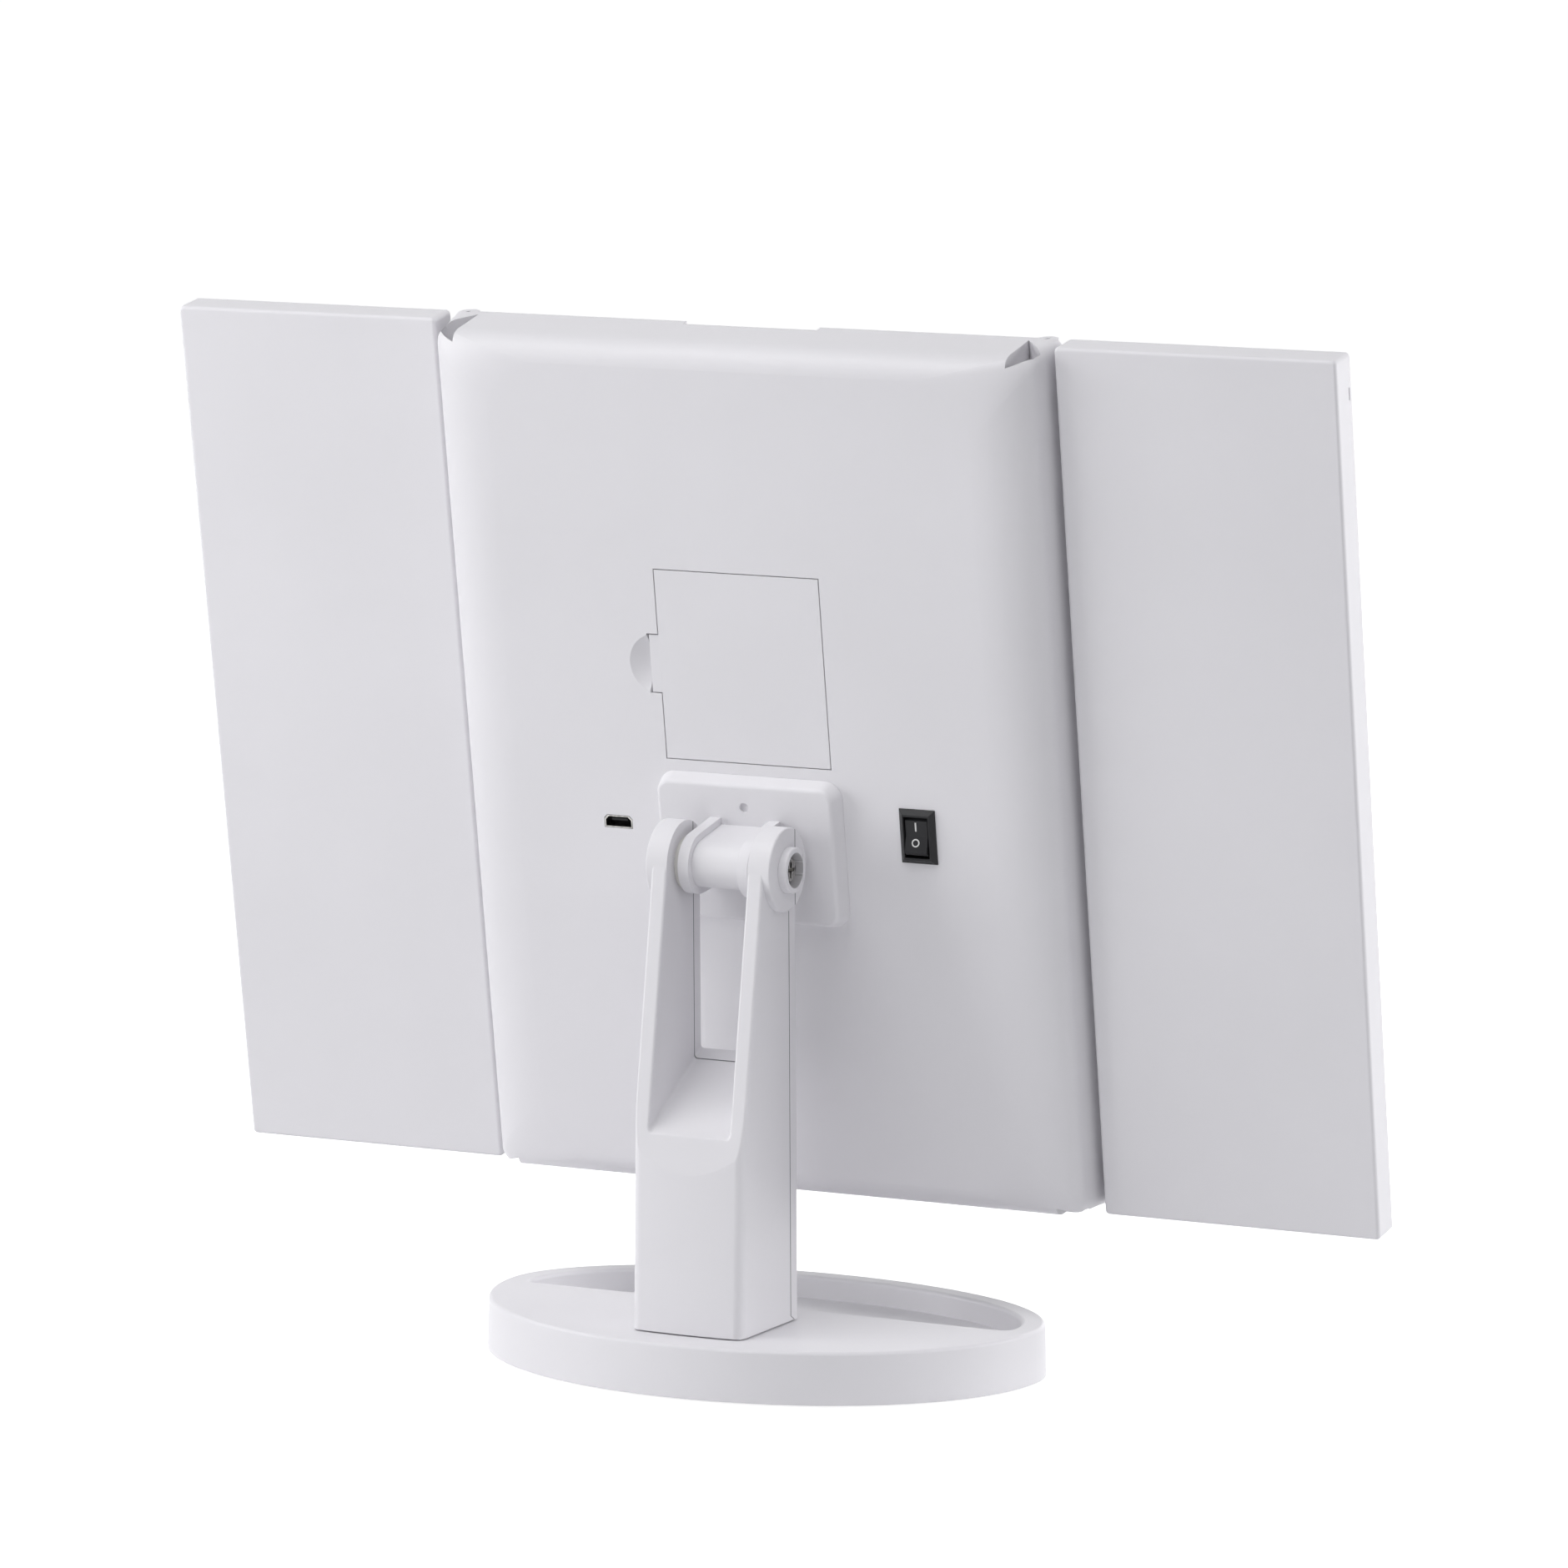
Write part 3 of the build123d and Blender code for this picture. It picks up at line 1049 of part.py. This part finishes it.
def base_shell():
    body = loft([oval(BASE_SPREAD, FOOT_RISE), oval(0, BASE_TOP)], ruled=True)
    body = fillet(body.faces().sort_by(Axis.Z)[-1].edges(), BASE_EDGE)
    hollow = extrude(oval(-BASE_WALL, FOOT_RISE - 1), BASE_TOP - BASE_WALL - FOOT_RISE + 1)
    floor = BASE_TOP - TRAY_DEPTH
    tub = tray_block(BASE_WALL, floor - BASE_WALL, BASE_TOP - BASE_WALL)
    body = body - (hollow - tub)
    body -= tray_block(0, floor, BASE_TOP + 1)
    deck = body.faces().sort_by(Axis.Z)[-1]
    body = fillet(deck.inner_wires()[0].edges(), TRAY_EDGE)
    low = FOOT_RISE + COVER_THICK
    for x, y in base_screw_places():
        body += rod("z", BOSS_R, (x, y, low), floor - low)
    for x, y in column_screw_places():
        body += rod("z", BOSS_R, (x, y, low), BASE_TOP - BASE_WALL / 2 - low)
    for x, y in base_screw_places():
        body -= rod("z", SMALL_SCREW_R + PRESS_FIT, (x, y, low - 1), floor - BASE_WALL - low + 1)
    for x, y in column_screw_places():
        body -= rod("z", SMALL_SCREW_R + SCREW_FIT, (x, y, 0), REACH)
    return body


def base_cover():
    cover = extrude(oval(-BASE_WALL - SEAT, FOOT_RISE), COVER_THICK)
    for x, y in base_screw_places() + column_screw_places():
        cover -= rod("z", SMALL_SCREW_R + SCREW_FIT, (x, y, 0), REACH)
        cover -= rod("z", SMALL_HEAD_R + SEAT, (x, y, 0), FOOT_RISE + COVER_THICK - 0.8)
    for x, y in foot_places():
        cover -= rod("z", FOOT_R + 0.1, (x, y, 0), FOOT_THICK)
    return cover


def foot_places():
    return [(x, y) for x in (-FOOT_AT[0], FOOT_AT[0]) for y in (-FOOT_AT[1], FOOT_AT[1])]


def rubber_feet():
    pads = []
    for x, y in foot_places():
        pad = rod("z", FOOT_R, (x, y, 0), FOOT_THICK)
        pads.append(chamfer(pad.edges().sort_by(Axis.Z)[0], 0.3))
    return group(pads)


def upward_screws(places, seat_z, length):
    """Screws driven up into bosses, heads below."""
    fastener = Rot(180, 0, 0) * screw(SMALL_HEAD_R, 1.0, SMALL_SCREW_R, length)
    return group([Pos(x, y, seat_z) * fastener for x, y in places])


# ---- Assembly ------------------------------------------------------------------------------------
def stand_parts():
    form = stand_with_bosses()
    seat_z = FOOT_RISE + COVER_THICK - 0.8
    return {
        "base_shell": base_shell(),
        "base_cover": base_cover(),
        "rubber_feet": rubber_feet(),
        "base_cover_screws": upward_screws(base_screw_places(), seat_z, 3.2),
        "column_screws": upward_screws(column_screw_places(), seat_z, BASE_TOP + 12 - seat_z),
        "stand_rear_shell": stand_rear_shell(form),
        "stand_front_shell": stand_front_shell(form),
        "pivot_screw": pivot_screw(),
        "pivot_nut": pivot_nut(),
        "pivot_washers": pivot_washers(),
    }


def mirror_parts():
    low, high = wing_openings()
    weak, strong = magnifier_openings()
    return {
        "hinge_bracket": hinge_bracket(),
        "bracket_screws": bracket_screws(),
        "rear_shell": rear_shell(),
        "front_frame": front_frame(),
        "centre_glass": centre_glass(),
        "light_diffuser": light_diffuser(),
        "led_boards": led_boards(),
        "leds": leds(),
        "touch_sensor": touch_sensor(),
        "wing_hinge_pins": hinge_pins(),
        "battery_holder": battery_holder(),
        "battery_contacts": battery_contacts(),
        "battery_door": battery_door(),
        "switch_housing": switch_housing(),
        "switch_rocker": switch_rocker(),
        "switch_terminals": switch_terminals(),
        "usb_socket": usb_socket(),
        "usb_tongue": usb_tongue(),
        "usb_board": usb_board(),
        "control_board": control_board(),
        "board_components": board_components(),
        "right_wing_cover": wing_cover(),
        "right_wing_frame": wing_frame([(low, high)]),
        "right_wing_glass": wing_glass(low, high, 0),
        "left_wing_cover": mirrored(wing_cover()),
        "left_wing_frame": mirrored(wing_frame([weak, strong])),
        "magnifier_2x": mirrored(wing_glass(*weak, MAGNIFIER_DISH[0])),
        "magnifier_3x": mirrored(wing_glass(*strong, MAGNIFIER_DISH[1])),
    }


def main():
    os.makedirs("parts", exist_ok=True)
    parts = stand_parts()
    for name, shape in mirror_parts().items():
        parts[name] = lean_back(shape)
    for name, shape in parts.items():
        export_step(shape, f"parts/{name}.step")


main()
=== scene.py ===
"""Looks of the trifold vanity mirror: finishes, small printed marks, floor, lights and camera.

Metres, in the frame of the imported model: origin on the table under the middle of the base, +Z up,
the user sits at -Y. The camera stands behind the mirror, where its back is seen.
"""
import json
from math import cos, pi, radians, sin

import bmesh
import bpy
from mathutils import Matrix, Vector


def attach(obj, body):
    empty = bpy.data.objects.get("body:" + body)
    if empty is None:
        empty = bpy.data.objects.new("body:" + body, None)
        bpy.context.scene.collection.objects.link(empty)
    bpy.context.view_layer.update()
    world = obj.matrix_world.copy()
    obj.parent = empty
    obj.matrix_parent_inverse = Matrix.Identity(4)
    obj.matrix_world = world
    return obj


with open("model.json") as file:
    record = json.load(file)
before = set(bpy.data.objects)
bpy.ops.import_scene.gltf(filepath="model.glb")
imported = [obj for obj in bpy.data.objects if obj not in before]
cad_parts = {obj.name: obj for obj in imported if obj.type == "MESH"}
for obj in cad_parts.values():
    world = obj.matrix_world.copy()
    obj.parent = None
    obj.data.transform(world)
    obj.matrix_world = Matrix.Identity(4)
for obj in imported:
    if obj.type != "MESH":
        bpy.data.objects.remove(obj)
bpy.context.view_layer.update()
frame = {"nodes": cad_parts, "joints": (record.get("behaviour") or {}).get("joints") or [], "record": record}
nodes = frame["nodes"]
joints = {joint["name"]: joint for joint in frame["joints"]}

MM = 0.001

# ---- Camera ----------------------------------------------------------------------------------------
VIEW_TARGET = Vector((-5.4, -3.0, 158.0)) * MM  # the point in the middle of the picture
VIEW_SIDE = 25.74                               # degrees from the back's normal towards -X
VIEW_RISE = 7.68                                # degrees above the level
VIEW_ROLL = 0.5                                 # degrees
VIEW_DISTANCE = 2260.6 * MM
VIEW_WIDTH = 420.3 * MM                         # width seen at the target
VIEW_END = 100.0                                # nothing beyond it is seen
SENSOR = 36.0                                   # width in the lens's own millimetres

# ---- Light -----------------------------------------------------------------------------------------
WORLD_STRENGTH = 0.2
WORLD_COLOR = (0.94, 0.945, 1.0)
LIGHT_AIM = Vector((0.0, 0.0, 0.15))
# name, degrees from the back's normal towards +X, degrees above level, distance, size, watts
LIGHTS = (
    ("key", 60, 10, 1.3, 0.7, 7.2),
    ("high", 20, 60, 1.3, 0.7, 7.3),
    ("side", -115, 8, 1.8, 1.0, 18.0),
    ("fill", -55, 40, 1.8, 1.0, 4.3),
    ("front", 180, 3, 2.0, 1.2, 9.0),
)
FLOOR_HALF = 30.0
FLOOR_COLOR = (0.82, 0.82, 0.83)
FLOOR_ROUGHNESS = 0.9
FLOOR_GLOW = (0.86, 0.86, 0.86)  # added where the floor is seen, not where it lights

# ---- Painted shade in the seam of the stand --------------------------------------------------------
STAND_SHELLS = ("stand_rear_shell", "stand_front_shell")
SEAM_FOOT = 12.675 * MM                # Y where the leaning groove would meet the deck
SEAM_LEAN = 3.9 / 123.7                # Y gained per height
SEAM_STEP = 2.9 * MM                   # how far forward the groove turns above the deck
SEAM_STEP_Z = (15.0 * MM, 16.7 * MM)   # the deck's height, and the height where the turn starts
SEAM_SHADE = 0.35                      # painted shade in the groove, as a fraction of the plastic's own colour
SEAM_FADE = (0.14 * MM, 0.24 * MM)     # from the groove's middle, from full shade to none
TILT_AXIS = (21.0 * MM, 138.7 * MM)    # Y and Z
RING_FADE = (6.3 * MM, 6.5 * MM)       # from the tilt axis, where the groove's shade starts
BORE_SHADE = 0.75                      # painted shade on the counterbore's wall, of the plastic's own colour
BORE_FADE = (4.75 * MM, 4.8 * MM)      # from the tilt axis, from full shade to none

# ---- Moulded plastic -------------------------------------------------------------------------------
CLOUD_SCALE = 14.0                     # noise scales are in cells per metre
CLOUD_RANGE = (0.35, 0.65)             # of the noise, from darkest to the plain colour
CLOUD_SHADE = 0.975                    # of the plain colour, at the darkest
GRAIN_SCALE = 1900.0
GRAIN_BUMP = 0.18
GLOSS_SPREAD = 0.05                    # roughness above and below the plastic's own
SINK_SCALE = 38.0
SINK_BUMP = 0.05
SINK_DEPTH = 0.4 * MM
PLASTIC_SPECULAR = 0.42

# ---- Switch marks ----------------------------------------------------------------------------------
ROCKER_TILT = radians(10)              # each half of the rocker's face slopes by this
ROCKER_RISE = 2.0 * MM                 # from the rocker's pin to the middle of its face
MARK_SHIFT = 0.2 * MM                  # towards +X
MARK_STEPS = 48                        # corners of a drawn circle
PRINT_LOW = 0.005 * MM                 # the ink's two faces, above the rocker's
PRINT_HIGH = 0.04 * MM
ON_BAR = (0.46 * MM, 2.45 * MM)        # width and height
ON_AT = 2.5 * MM                       # above the pin
OFF_RING = (1.13 * MM, 0.77 * MM)      # outer and inner radius
OFF_AT = -1.8 * MM                     # below the pin


# ---- Node helpers ----------------------------------------------------------------------------------
class Finish:
    """A node material with a Principled shader, object-space coordinates and small builders."""

    def __init__(self, name):
        self.material = bpy.data.materials.new(name)
        self.material.use_nodes = True
        self.tree = self.material.node_tree
        self.shader = self.tree.nodes["Principled BSDF"]
        self.place = self.tree.nodes.new("ShaderNodeTexCoord").outputs["Object"]

    def add(self, kind, **values):
        """A new node with its properties set."""
        node = self.tree.nodes.new(kind)
        for key, value in values.items():
            setattr(node, key, value)
        return node

    def link(self, source, target):
        self.tree.links.new(source, target)

    def set(self, **values):
        """Set sockets of the shader by name, underscores for spaces."""
        for key, value in values.items():
            self.shader.inputs[key.replace("_", " ")].default_value = value

    def stretched(self, factors):
        """Coordinates scaled along each axis."""
        mapping = self.add("ShaderNodeMapping")
        mapping.inputs["Scale"].default_value = factors
        self.link(self.place, mapping.inputs["Vector"])
        return mapping.outputs["Vector"]

    def noise(self, scale, detail=2.0, place=None):
        node = self.add("ShaderNodeTexNoise")
        node.inputs["Scale"].default_value = scale
        node.inputs["Detail"].default_value = detail
        self.link(place or self.place, node.inputs["Vector"])
        return node.outputs["Fac"]

    def span(self, source, low, high, start=0.3, end=0.7):
        """Map a value from start..end to low..high and hold it there; noise lies in 0.3..0.7."""
        node = self.add("ShaderNodeMapRange")
        for name, value in (("From Min", start), ("From Max", end), ("To Min", low), ("To Max", high)):
            node.inputs[name].default_value = value
        self.link(source, node.inputs["Value"])
        return node.outputs["Result"]

    def math(self, operation, *terms):
        """A Math node on sockets and plain numbers."""
        node = self.add("ShaderNodeMath", operation=operation)
        for term, target in zip(terms, node.inputs):
            if isinstance(term, float):
                target.default_value = term
            else:
                self.link(term, target)
        return node.outputs[0]

    def ramp(self, source, stops):
        """A colour ramp with (position, colour) stops."""
        node = self.add("ShaderNodeValToRGB")
        while len(node.color_ramp.elements) < len(stops):
            node.color_ramp.elements.new(0.5)
        for element, (position, color) in zip(node.color_ramp.elements, stops):
            element.position = position
            element.color = (*color, 1)
        self.link(source, node.inputs["Fac"])
        return node.outputs["Color"]

    def bump(self, source, strength, depth, below=None):
        node = self.add("ShaderNodeBump")
        node.inputs["Strength"].default_value = strength
        node.inputs["Distance"].default_value = depth
        self.link(source, node.inputs["Height"])
        if below is not None:
            self.link(below, node.inputs["Normal"])
        return node.outputs["Normal"]

    def soft_edge(self, radius):
        """Normals rounded over the edges of the mesh."""
        node = self.add("ShaderNodeBevel", samples=4)
        node.inputs["Radius"].default_value = radius
        return node.outputs["Normal"]

    def color(self, source):
        self.link(source, self.shader.inputs["Base Color"])

    def rough(self, source):
        self.link(source, self.shader.inputs["Roughness"])

    def normal(self, source):
        self.link(source, self.shader.inputs["Normal"])


# ---- Finishes --------------------------------------------------------------------------------------
def moulded(name, color, gloss, edge=0.25 * MM, grain=0.03 * MM):
    """Injection-moulded plastic: fine spark-eroded grain, slow sink waviness and faint cloudiness."""
    finish = Finish(name)
    cloud = finish.noise(CLOUD_SCALE, 3.0)
    dark = tuple(channel * CLOUD_SHADE for channel in color)
    finish.color(finish.ramp(cloud, [(CLOUD_RANGE[0], dark), (CLOUD_RANGE[1], color)]))
    fine = finish.noise(GRAIN_SCALE)
    finish.rough(finish.span(fine, gloss - GLOSS_SPREAD, gloss + GLOSS_SPREAD))
    wave = finish.bump(finish.noise(SINK_SCALE, 1.0), SINK_BUMP, SINK_DEPTH, finish.soft_edge(edge))
    finish.normal(finish.bump(fine, GRAIN_BUMP, grain, wave))
    finish.set(Specular_IOR_Level=PLASTIC_SPECULAR)
    return finish


def satin(name):
    finish = moulded(name, (0.80, 0.791, 0.817), 0.46)
    finish.set(Subsurface_Weight=0.04, Subsurface_Radius=(0.9, 0.9, 0.9), Subsurface_Scale=1.2 * MM)
    return finish


def satin_white():
    return satin("satin_white").material


def white_painted_seam_shade():
    """Satin white of the stand, with painted shade inside the groove between its two shells and on the
    counterbore's wall.
    """
    finish = satin("white_painted_seam_shade")
    axes = finish.add("ShaderNodeSeparateXYZ")
    finish.link(finish.place, axes.inputs[0])
    height = axes.outputs["Z"]
    middle = finish.math("MULTIPLY_ADD", height, SEAM_LEAN, SEAM_FOOT - SEAM_LEAN * SEAM_STEP_Z[0])
    step = finish.span(height, SEAM_STEP, 0.0, *SEAM_STEP_Z)
    behind = finish.math("ADD", finish.math("SUBTRACT", axes.outputs["Y"], middle), step)
    radius = finish.add("ShaderNodeVectorMath", operation="DISTANCE")
    finish.link(finish.stretched((0.0, 1.0, 1.0)), radius.inputs[0])
    radius.inputs[1].default_value = (0.0, *TILT_AXIS)
    from_axis = radius.outputs["Value"]
    ring = finish.span(from_axis, SEAM_FADE[1], 0.0, *RING_FADE)
    away = finish.math("ADD", finish.math("ABSOLUTE", behind), ring)
    # painted shade: the colour darkens along the groove between the shells, as shade falls there, except
    # near the tilt axis
    painted_seam_shade = finish.span(away, SEAM_SHADE, 1.0, *SEAM_FADE)
    # painted shade: the colour darkens on the counterbore's wall, inside the bore's radius
    painted_bore_shade = finish.span(from_axis, BORE_SHADE, 1.0, *BORE_FADE)
    painted_shade_scale = finish.add("ShaderNodeVectorMath", operation="SCALE")
    finish.link(finish.shader.inputs["Base Color"].links[0].from_socket, painted_shade_scale.inputs["Vector"])
    finish.link(finish.math("MULTIPLY", painted_seam_shade, painted_bore_shade), painted_shade_scale.inputs["Scale"])
    finish.color(painted_shade_scale.outputs["Vector"])
    return finish.material


def gloss_white():
    finish = moulded("gloss_white", (0.83, 0.828, 0.835), 0.22, grain=0.01 * MM)
    finish.set(Coat_Weight=0.3, Coat_Roughness=0.08)
    return finish.material


def silvered_glass():
    """Silver behind clear glass: nearly perfect mirror with a faint green cast and a trace of haze."""
    finish = Finish("silvered_glass")
    haze = finish.noise(60.0, 3.0)
    finish.color(finish.ramp(haze, [(0.3, (0.89, 0.907, 0.901)), (0.7, (0.9, 0.915, 0.91))]))
    finish.rough(finish.span(finish.noise(220.0, 2.0), 0.012, 0.03))
    finish.set(Metallic=1.0)
    finish.normal(finish.soft_edge(0.12 * MM))
    return finish.material


def frosted_acrylic():
    finish = moulded("frosted_acrylic", (0.90, 0.895, 0.875), 0.5, grain=0.05 * MM)
    finish.set(Subsurface_Weight=0.35, Subsurface_Radius=(1.0, 0.95, 0.85), Subsurface_Scale=3 * MM)
    return finish.material


def black_nylon():
    finish = moulded("black_nylon", (0.024, 0.024, 0.026), 0.34, edge=0.06 * MM)
    finish.set(Specular_IOR_Level=0.16)
    return finish.material


def turned_steel():
    """Plated screws: brushed across, small pits, warm grey."""
    finish = Finish("turned_steel")
    streaks = finish.noise(400.0, 4.0, finish.stretched((1.0, 14.0, 1.0)))
    finish.color(finish.ramp(streaks, [(0.4, (0.14, 0.138, 0.134)), (0.62, (0.6, 0.59, 0.57))]))
    finish.rough(finish.span(streaks, 0.2, 0.38))
    finish.normal(finish.bump(finish.noise(2600.0), 0.3, 0.02 * MM, finish.soft_edge(0.08 * MM)))
    finish.set(Metallic=1.0)
    return finish.material


def nickel():
    finish = Finish("nickel")
    cloud = finish.noise(900.0, 3.0)
    finish.color(finish.ramp(cloud, [(0.38, (0.27, 0.266, 0.257)), (0.62, (0.47, 0.46, 0.445))]))
    finish.rough(finish.span(cloud, 0.14, 0.26))
    finish.normal(finish.soft_edge(0.05 * MM))
    finish.set(Metallic=1.0)
    return finish.material


def nylon():
    return moulded("natural_nylon", (0.72, 0.71, 0.68), 0.55).material


def grey_rubber():
    finish = moulded("grey_rubber", (0.36, 0.36, 0.355), 0.7, grain=0.08 * MM)
    finish.set(Specular_IOR_Level=0.3)
    return finish.material


def circuit(name, mask, copper):
    """Solder mask with faint copper tracks under it."""
    finish = Finish(name)
    tracks = finish.add("ShaderNodeTexWave", wave_type="BANDS", bands_direction="DIAGONAL")
    tracks.inputs["Scale"].default_value = 260.0
    tracks.inputs["Distortion"].default_value = 2.0
    finish.link(finish.place, tracks.inputs["Vector"])
    finish.color(finish.ramp(tracks.outputs["Fac"], [(0.62, mask), (0.7, copper)]))
    finish.rough(finish.span(finish.noise(900.0), 0.25, 0.4))
    finish.normal(finish.bump(tracks.outputs["Fac"], 0.2, 0.03 * MM))
    return finish.material


def phosphor():
    return moulded("phosphor", (0.82, 0.66, 0.2), 0.35).material


def copper_foil():
    finish = Finish("copper_foil")
    cloud = finish.noise(300.0, 3.0)
    finish.color(finish.ramp(cloud, [(0.3, (0.6, 0.33, 0.18)), (0.7, (0.78, 0.47, 0.3))]))
    finish.rough(finish.span(cloud, 0.2, 0.4))
    finish.set(Metallic=1.0)
    return finish.material


def chip_package():
    return moulded("chip_package", (0.03, 0.03, 0.032), 0.55).material


def pad_print():
    """The white ink of the switch's two marks."""
    return moulded("pad_print", (0.72, 0.72, 0.71), 0.5, grain=0.02 * MM).material


FINISHES = {
    "white_plastic": satin_white,
    "white_gloss": gloss_white,
    "mirror_glass": silvered_glass,
    "frosted": frosted_acrylic,
    "steel": turned_steel,
    "nickel": nickel,
    "black_plastic": black_nylon,
    "nylon": nylon,
    "clear_rubber": grey_rubber,
    "board_white": lambda: circuit("white_board", (0.72, 0.73, 0.7), (0.66, 0.67, 0.62)),
    "board_green": lambda: circuit("green_board", (0.01, 0.10, 0.04), (0.03, 0.17, 0.07)),
    "led_yellow": phosphor,
    "copper": copper_foil,
    "chip_black": chip_package,
    "pad_print": pad_print,
    "stand_white_painted_seam_shade": white_painted_seam_shade,
}


def dress_nodes():
    """Give every CAD node the finish of its material slot, and the stand's shells their own white with
    painted seam shade.
    """
    made = {slot: build() for slot, build in FINISHES.items()}
    for subpart in frame["record"]["subparts"]:
        finish = "stand_white_painted_seam_shade" if subpart["node"] in STAND_SHELLS else subpart["material_slot"]
        mesh = nodes[subpart["node"]].data
        mesh.materials.clear()
        mesh.materials.append(made[finish])
    return made


# ---- Marks on the switch ---------------------------------------------------------------------------
def bar(width, height):
    """Corners of an upright bar about its middle."""
    x, z = width / 2, height / 2
    return [(-x, -z), (x, -z), (x, z), (-x, z)]


def circle(radius):
    steps = [2 * pi * step / MARK_STEPS for step in range(MARK_STEPS)]
    return [(radius * cos(angle), radius * sin(angle)) for angle in steps]


def band(mesh, first, second):
    """Faces between two closed rings of vertices."""
    for index in range(len(first)):
        after = (index + 1) % len(first)
        mesh.faces.new((first[index], first[after], second[after], second[index]))


def mark(name, outline, hole, along):
    """A thin print on one half of the rocker's face, centred at a height along above its pin.

    At rest the upper half is pressed in, and both halves slope equally from the upright.
    """
    tilt = ROCKER_TILT if along > 0 else -ROCKER_TILT
    right = Vector((1, 0, 0))
    up = Vector((0, sin(tilt), cos(tilt)))
    out = Vector((0, cos(tilt), -sin(tilt)))
    middle = Vector(joints["switch_rock"]["pos_m"]) + Vector((MARK_SHIFT, ROCKER_RISE, 0))
    middle += up * along / cos(tilt)
    mesh = bmesh.new()
    low, high = [], []
    for layer, height in ((low, PRINT_LOW), (high, PRINT_HIGH)):
        start = middle + out * height
        for ring in (outline, hole):
            layer.append([mesh.verts.new(start + right * x + up * z) for x, z in ring])
    band(mesh, low[0], high[0])
    if hole:
        band(mesh, low[1], high[1])
        band(mesh, *low)
        band(mesh, *high)
    else:
        mesh.faces.new(low[0])
        mesh.faces.new(high[0])
    bmesh.ops.recalc_face_normals(mesh, faces=mesh.faces)
    data = bpy.data.meshes.new(name)
    mesh.to_mesh(data)
    mesh.free()
    piece = bpy.data.objects.new(name, data)
    bpy.context.scene.collection.objects.link(piece)
    data.materials.append(finishes["pad_print"])
    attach(piece, "rocker")


# ---- Stage -----------------------------------------------------------------------------------------
def seen_factor(tree):
    """1 for rays that show the backdrop: camera, glossy and transmission rays."""
    path = tree.nodes.new("ShaderNodeLightPath")
    total = path.outputs["Is Camera Ray"]
    for ray in ("Is Glossy Ray", "Is Transmission Ray"):
        largest = tree.nodes.new("ShaderNodeMath")
        largest.operation = "MAXIMUM"
        tree.links.new(total, largest.inputs[0])
        tree.links.new(path.outputs[ray], largest.inputs[1])
        total = largest.outputs[0]
    return total


def make_world():
    world = bpy.data.worlds.new("studio")
    bpy.context.scene.world = world
    world.use_nodes = True
    tree = world.node_tree
    light = tree.nodes["Background"]
    light.inputs["Color"].default_value = (*WORLD_COLOR, 1)
    light.inputs["Strength"].default_value = WORLD_STRENGTH
    shown = tree.nodes.new("ShaderNodeBackground")
    shown.inputs["Color"].default_value = (1, 1, 1, 1)
    shown.inputs["Strength"].default_value = 1.0
    mix = tree.nodes.new("ShaderNodeMixShader")
    tree.links.new(seen_factor(tree), mix.inputs["Fac"])
    tree.links.new(light.outputs[0], mix.inputs[1])
    tree.links.new(shown.outputs[0], mix.inputs[2])
    tree.links.new(mix.outputs[0], tree.nodes["World Output"].inputs["Surface"])


def make_floor():
    """A pale floor that shows as white away from the object's own shadow."""
    material = bpy.data.materials.new("floor")
    material.use_nodes = True
    tree = material.node_tree
    matte = tree.nodes["Principled BSDF"]
    matte.inputs["Base Color"].default_value = (*FLOOR_COLOR, 1)
    matte.inputs["Roughness"].default_value = FLOOR_ROUGHNESS
    matte.inputs["Specular IOR Level"].default_value = 0.0
    glow = tree.nodes.new("ShaderNodeEmission")
    glow.inputs["Color"].default_value = (*FLOOR_GLOW, 1)
    tree.links.new(seen_factor(tree), glow.inputs["Strength"])
    both = tree.nodes.new("ShaderNodeAddShader")
    tree.links.new(matte.outputs[0], both.inputs[0])
    tree.links.new(glow.outputs[0], both.inputs[1])
    tree.links.new(both.outputs[0], tree.nodes["Material Output"].inputs["Surface"])
    bpy.ops.mesh.primitive_plane_add(size=2 * FLOOR_HALF)
    floor = bpy.context.object
    floor.name = "floor"
    floor.data.materials.append(material)


def make_lights():
    for name, side, rise, distance, size, watts in LIGHTS:
        lamp = bpy.data.lights.new(name, "AREA")
        lamp.size = size
        lamp.energy = watts
        holder = bpy.data.objects.new(name, lamp)
        bpy.context.scene.collection.objects.link(holder)
        around, up = radians(side), radians(rise)
        away = Vector((sin(around) * cos(up), cos(around) * cos(up), sin(up)))
        holder.location = LIGHT_AIM + away * distance
        holder.rotation_euler = away.to_track_quat("Z", "Y").to_euler()


def make_camera():
    side, rise, roll = radians(VIEW_SIDE), radians(VIEW_RISE), radians(VIEW_ROLL)
    back = Vector((-sin(side) * cos(rise), cos(side) * cos(rise), sin(rise)))
    right = (-back).cross(Vector((0, 0, 1))).normalized()
    up = back.cross(right)
    turned_right = right * cos(roll) + up * sin(roll)
    turned_up = up * cos(roll) - right * sin(roll)
    camera = bpy.data.objects.new("camera", bpy.data.cameras.new("camera"))
    camera.data.sensor_width = SENSOR
    camera.data.sensor_fit = "HORIZONTAL"
    camera.data.lens = SENSOR * VIEW_DISTANCE / VIEW_WIDTH
    camera.data.clip_end = VIEW_END
    axes = Matrix((turned_right, turned_up, back)).transposed().to_4x4()
    camera.matrix_world = Matrix.Translation(VIEW_TARGET + back * VIEW_DISTANCE) @ axes
    bpy.context.scene.collection.objects.link(camera)
    bpy.context.scene.camera = camera


bpy.context.scene.view_settings.view_transform = "Standard"
finishes = dress_nodes()
mark("mark_on", bar(*ON_BAR), [], ON_AT)
mark("mark_off", circle(OFF_RING[0]), circle(OFF_RING[1]), OFF_AT)
make_world()
make_floor()
make_lights()
make_camera()
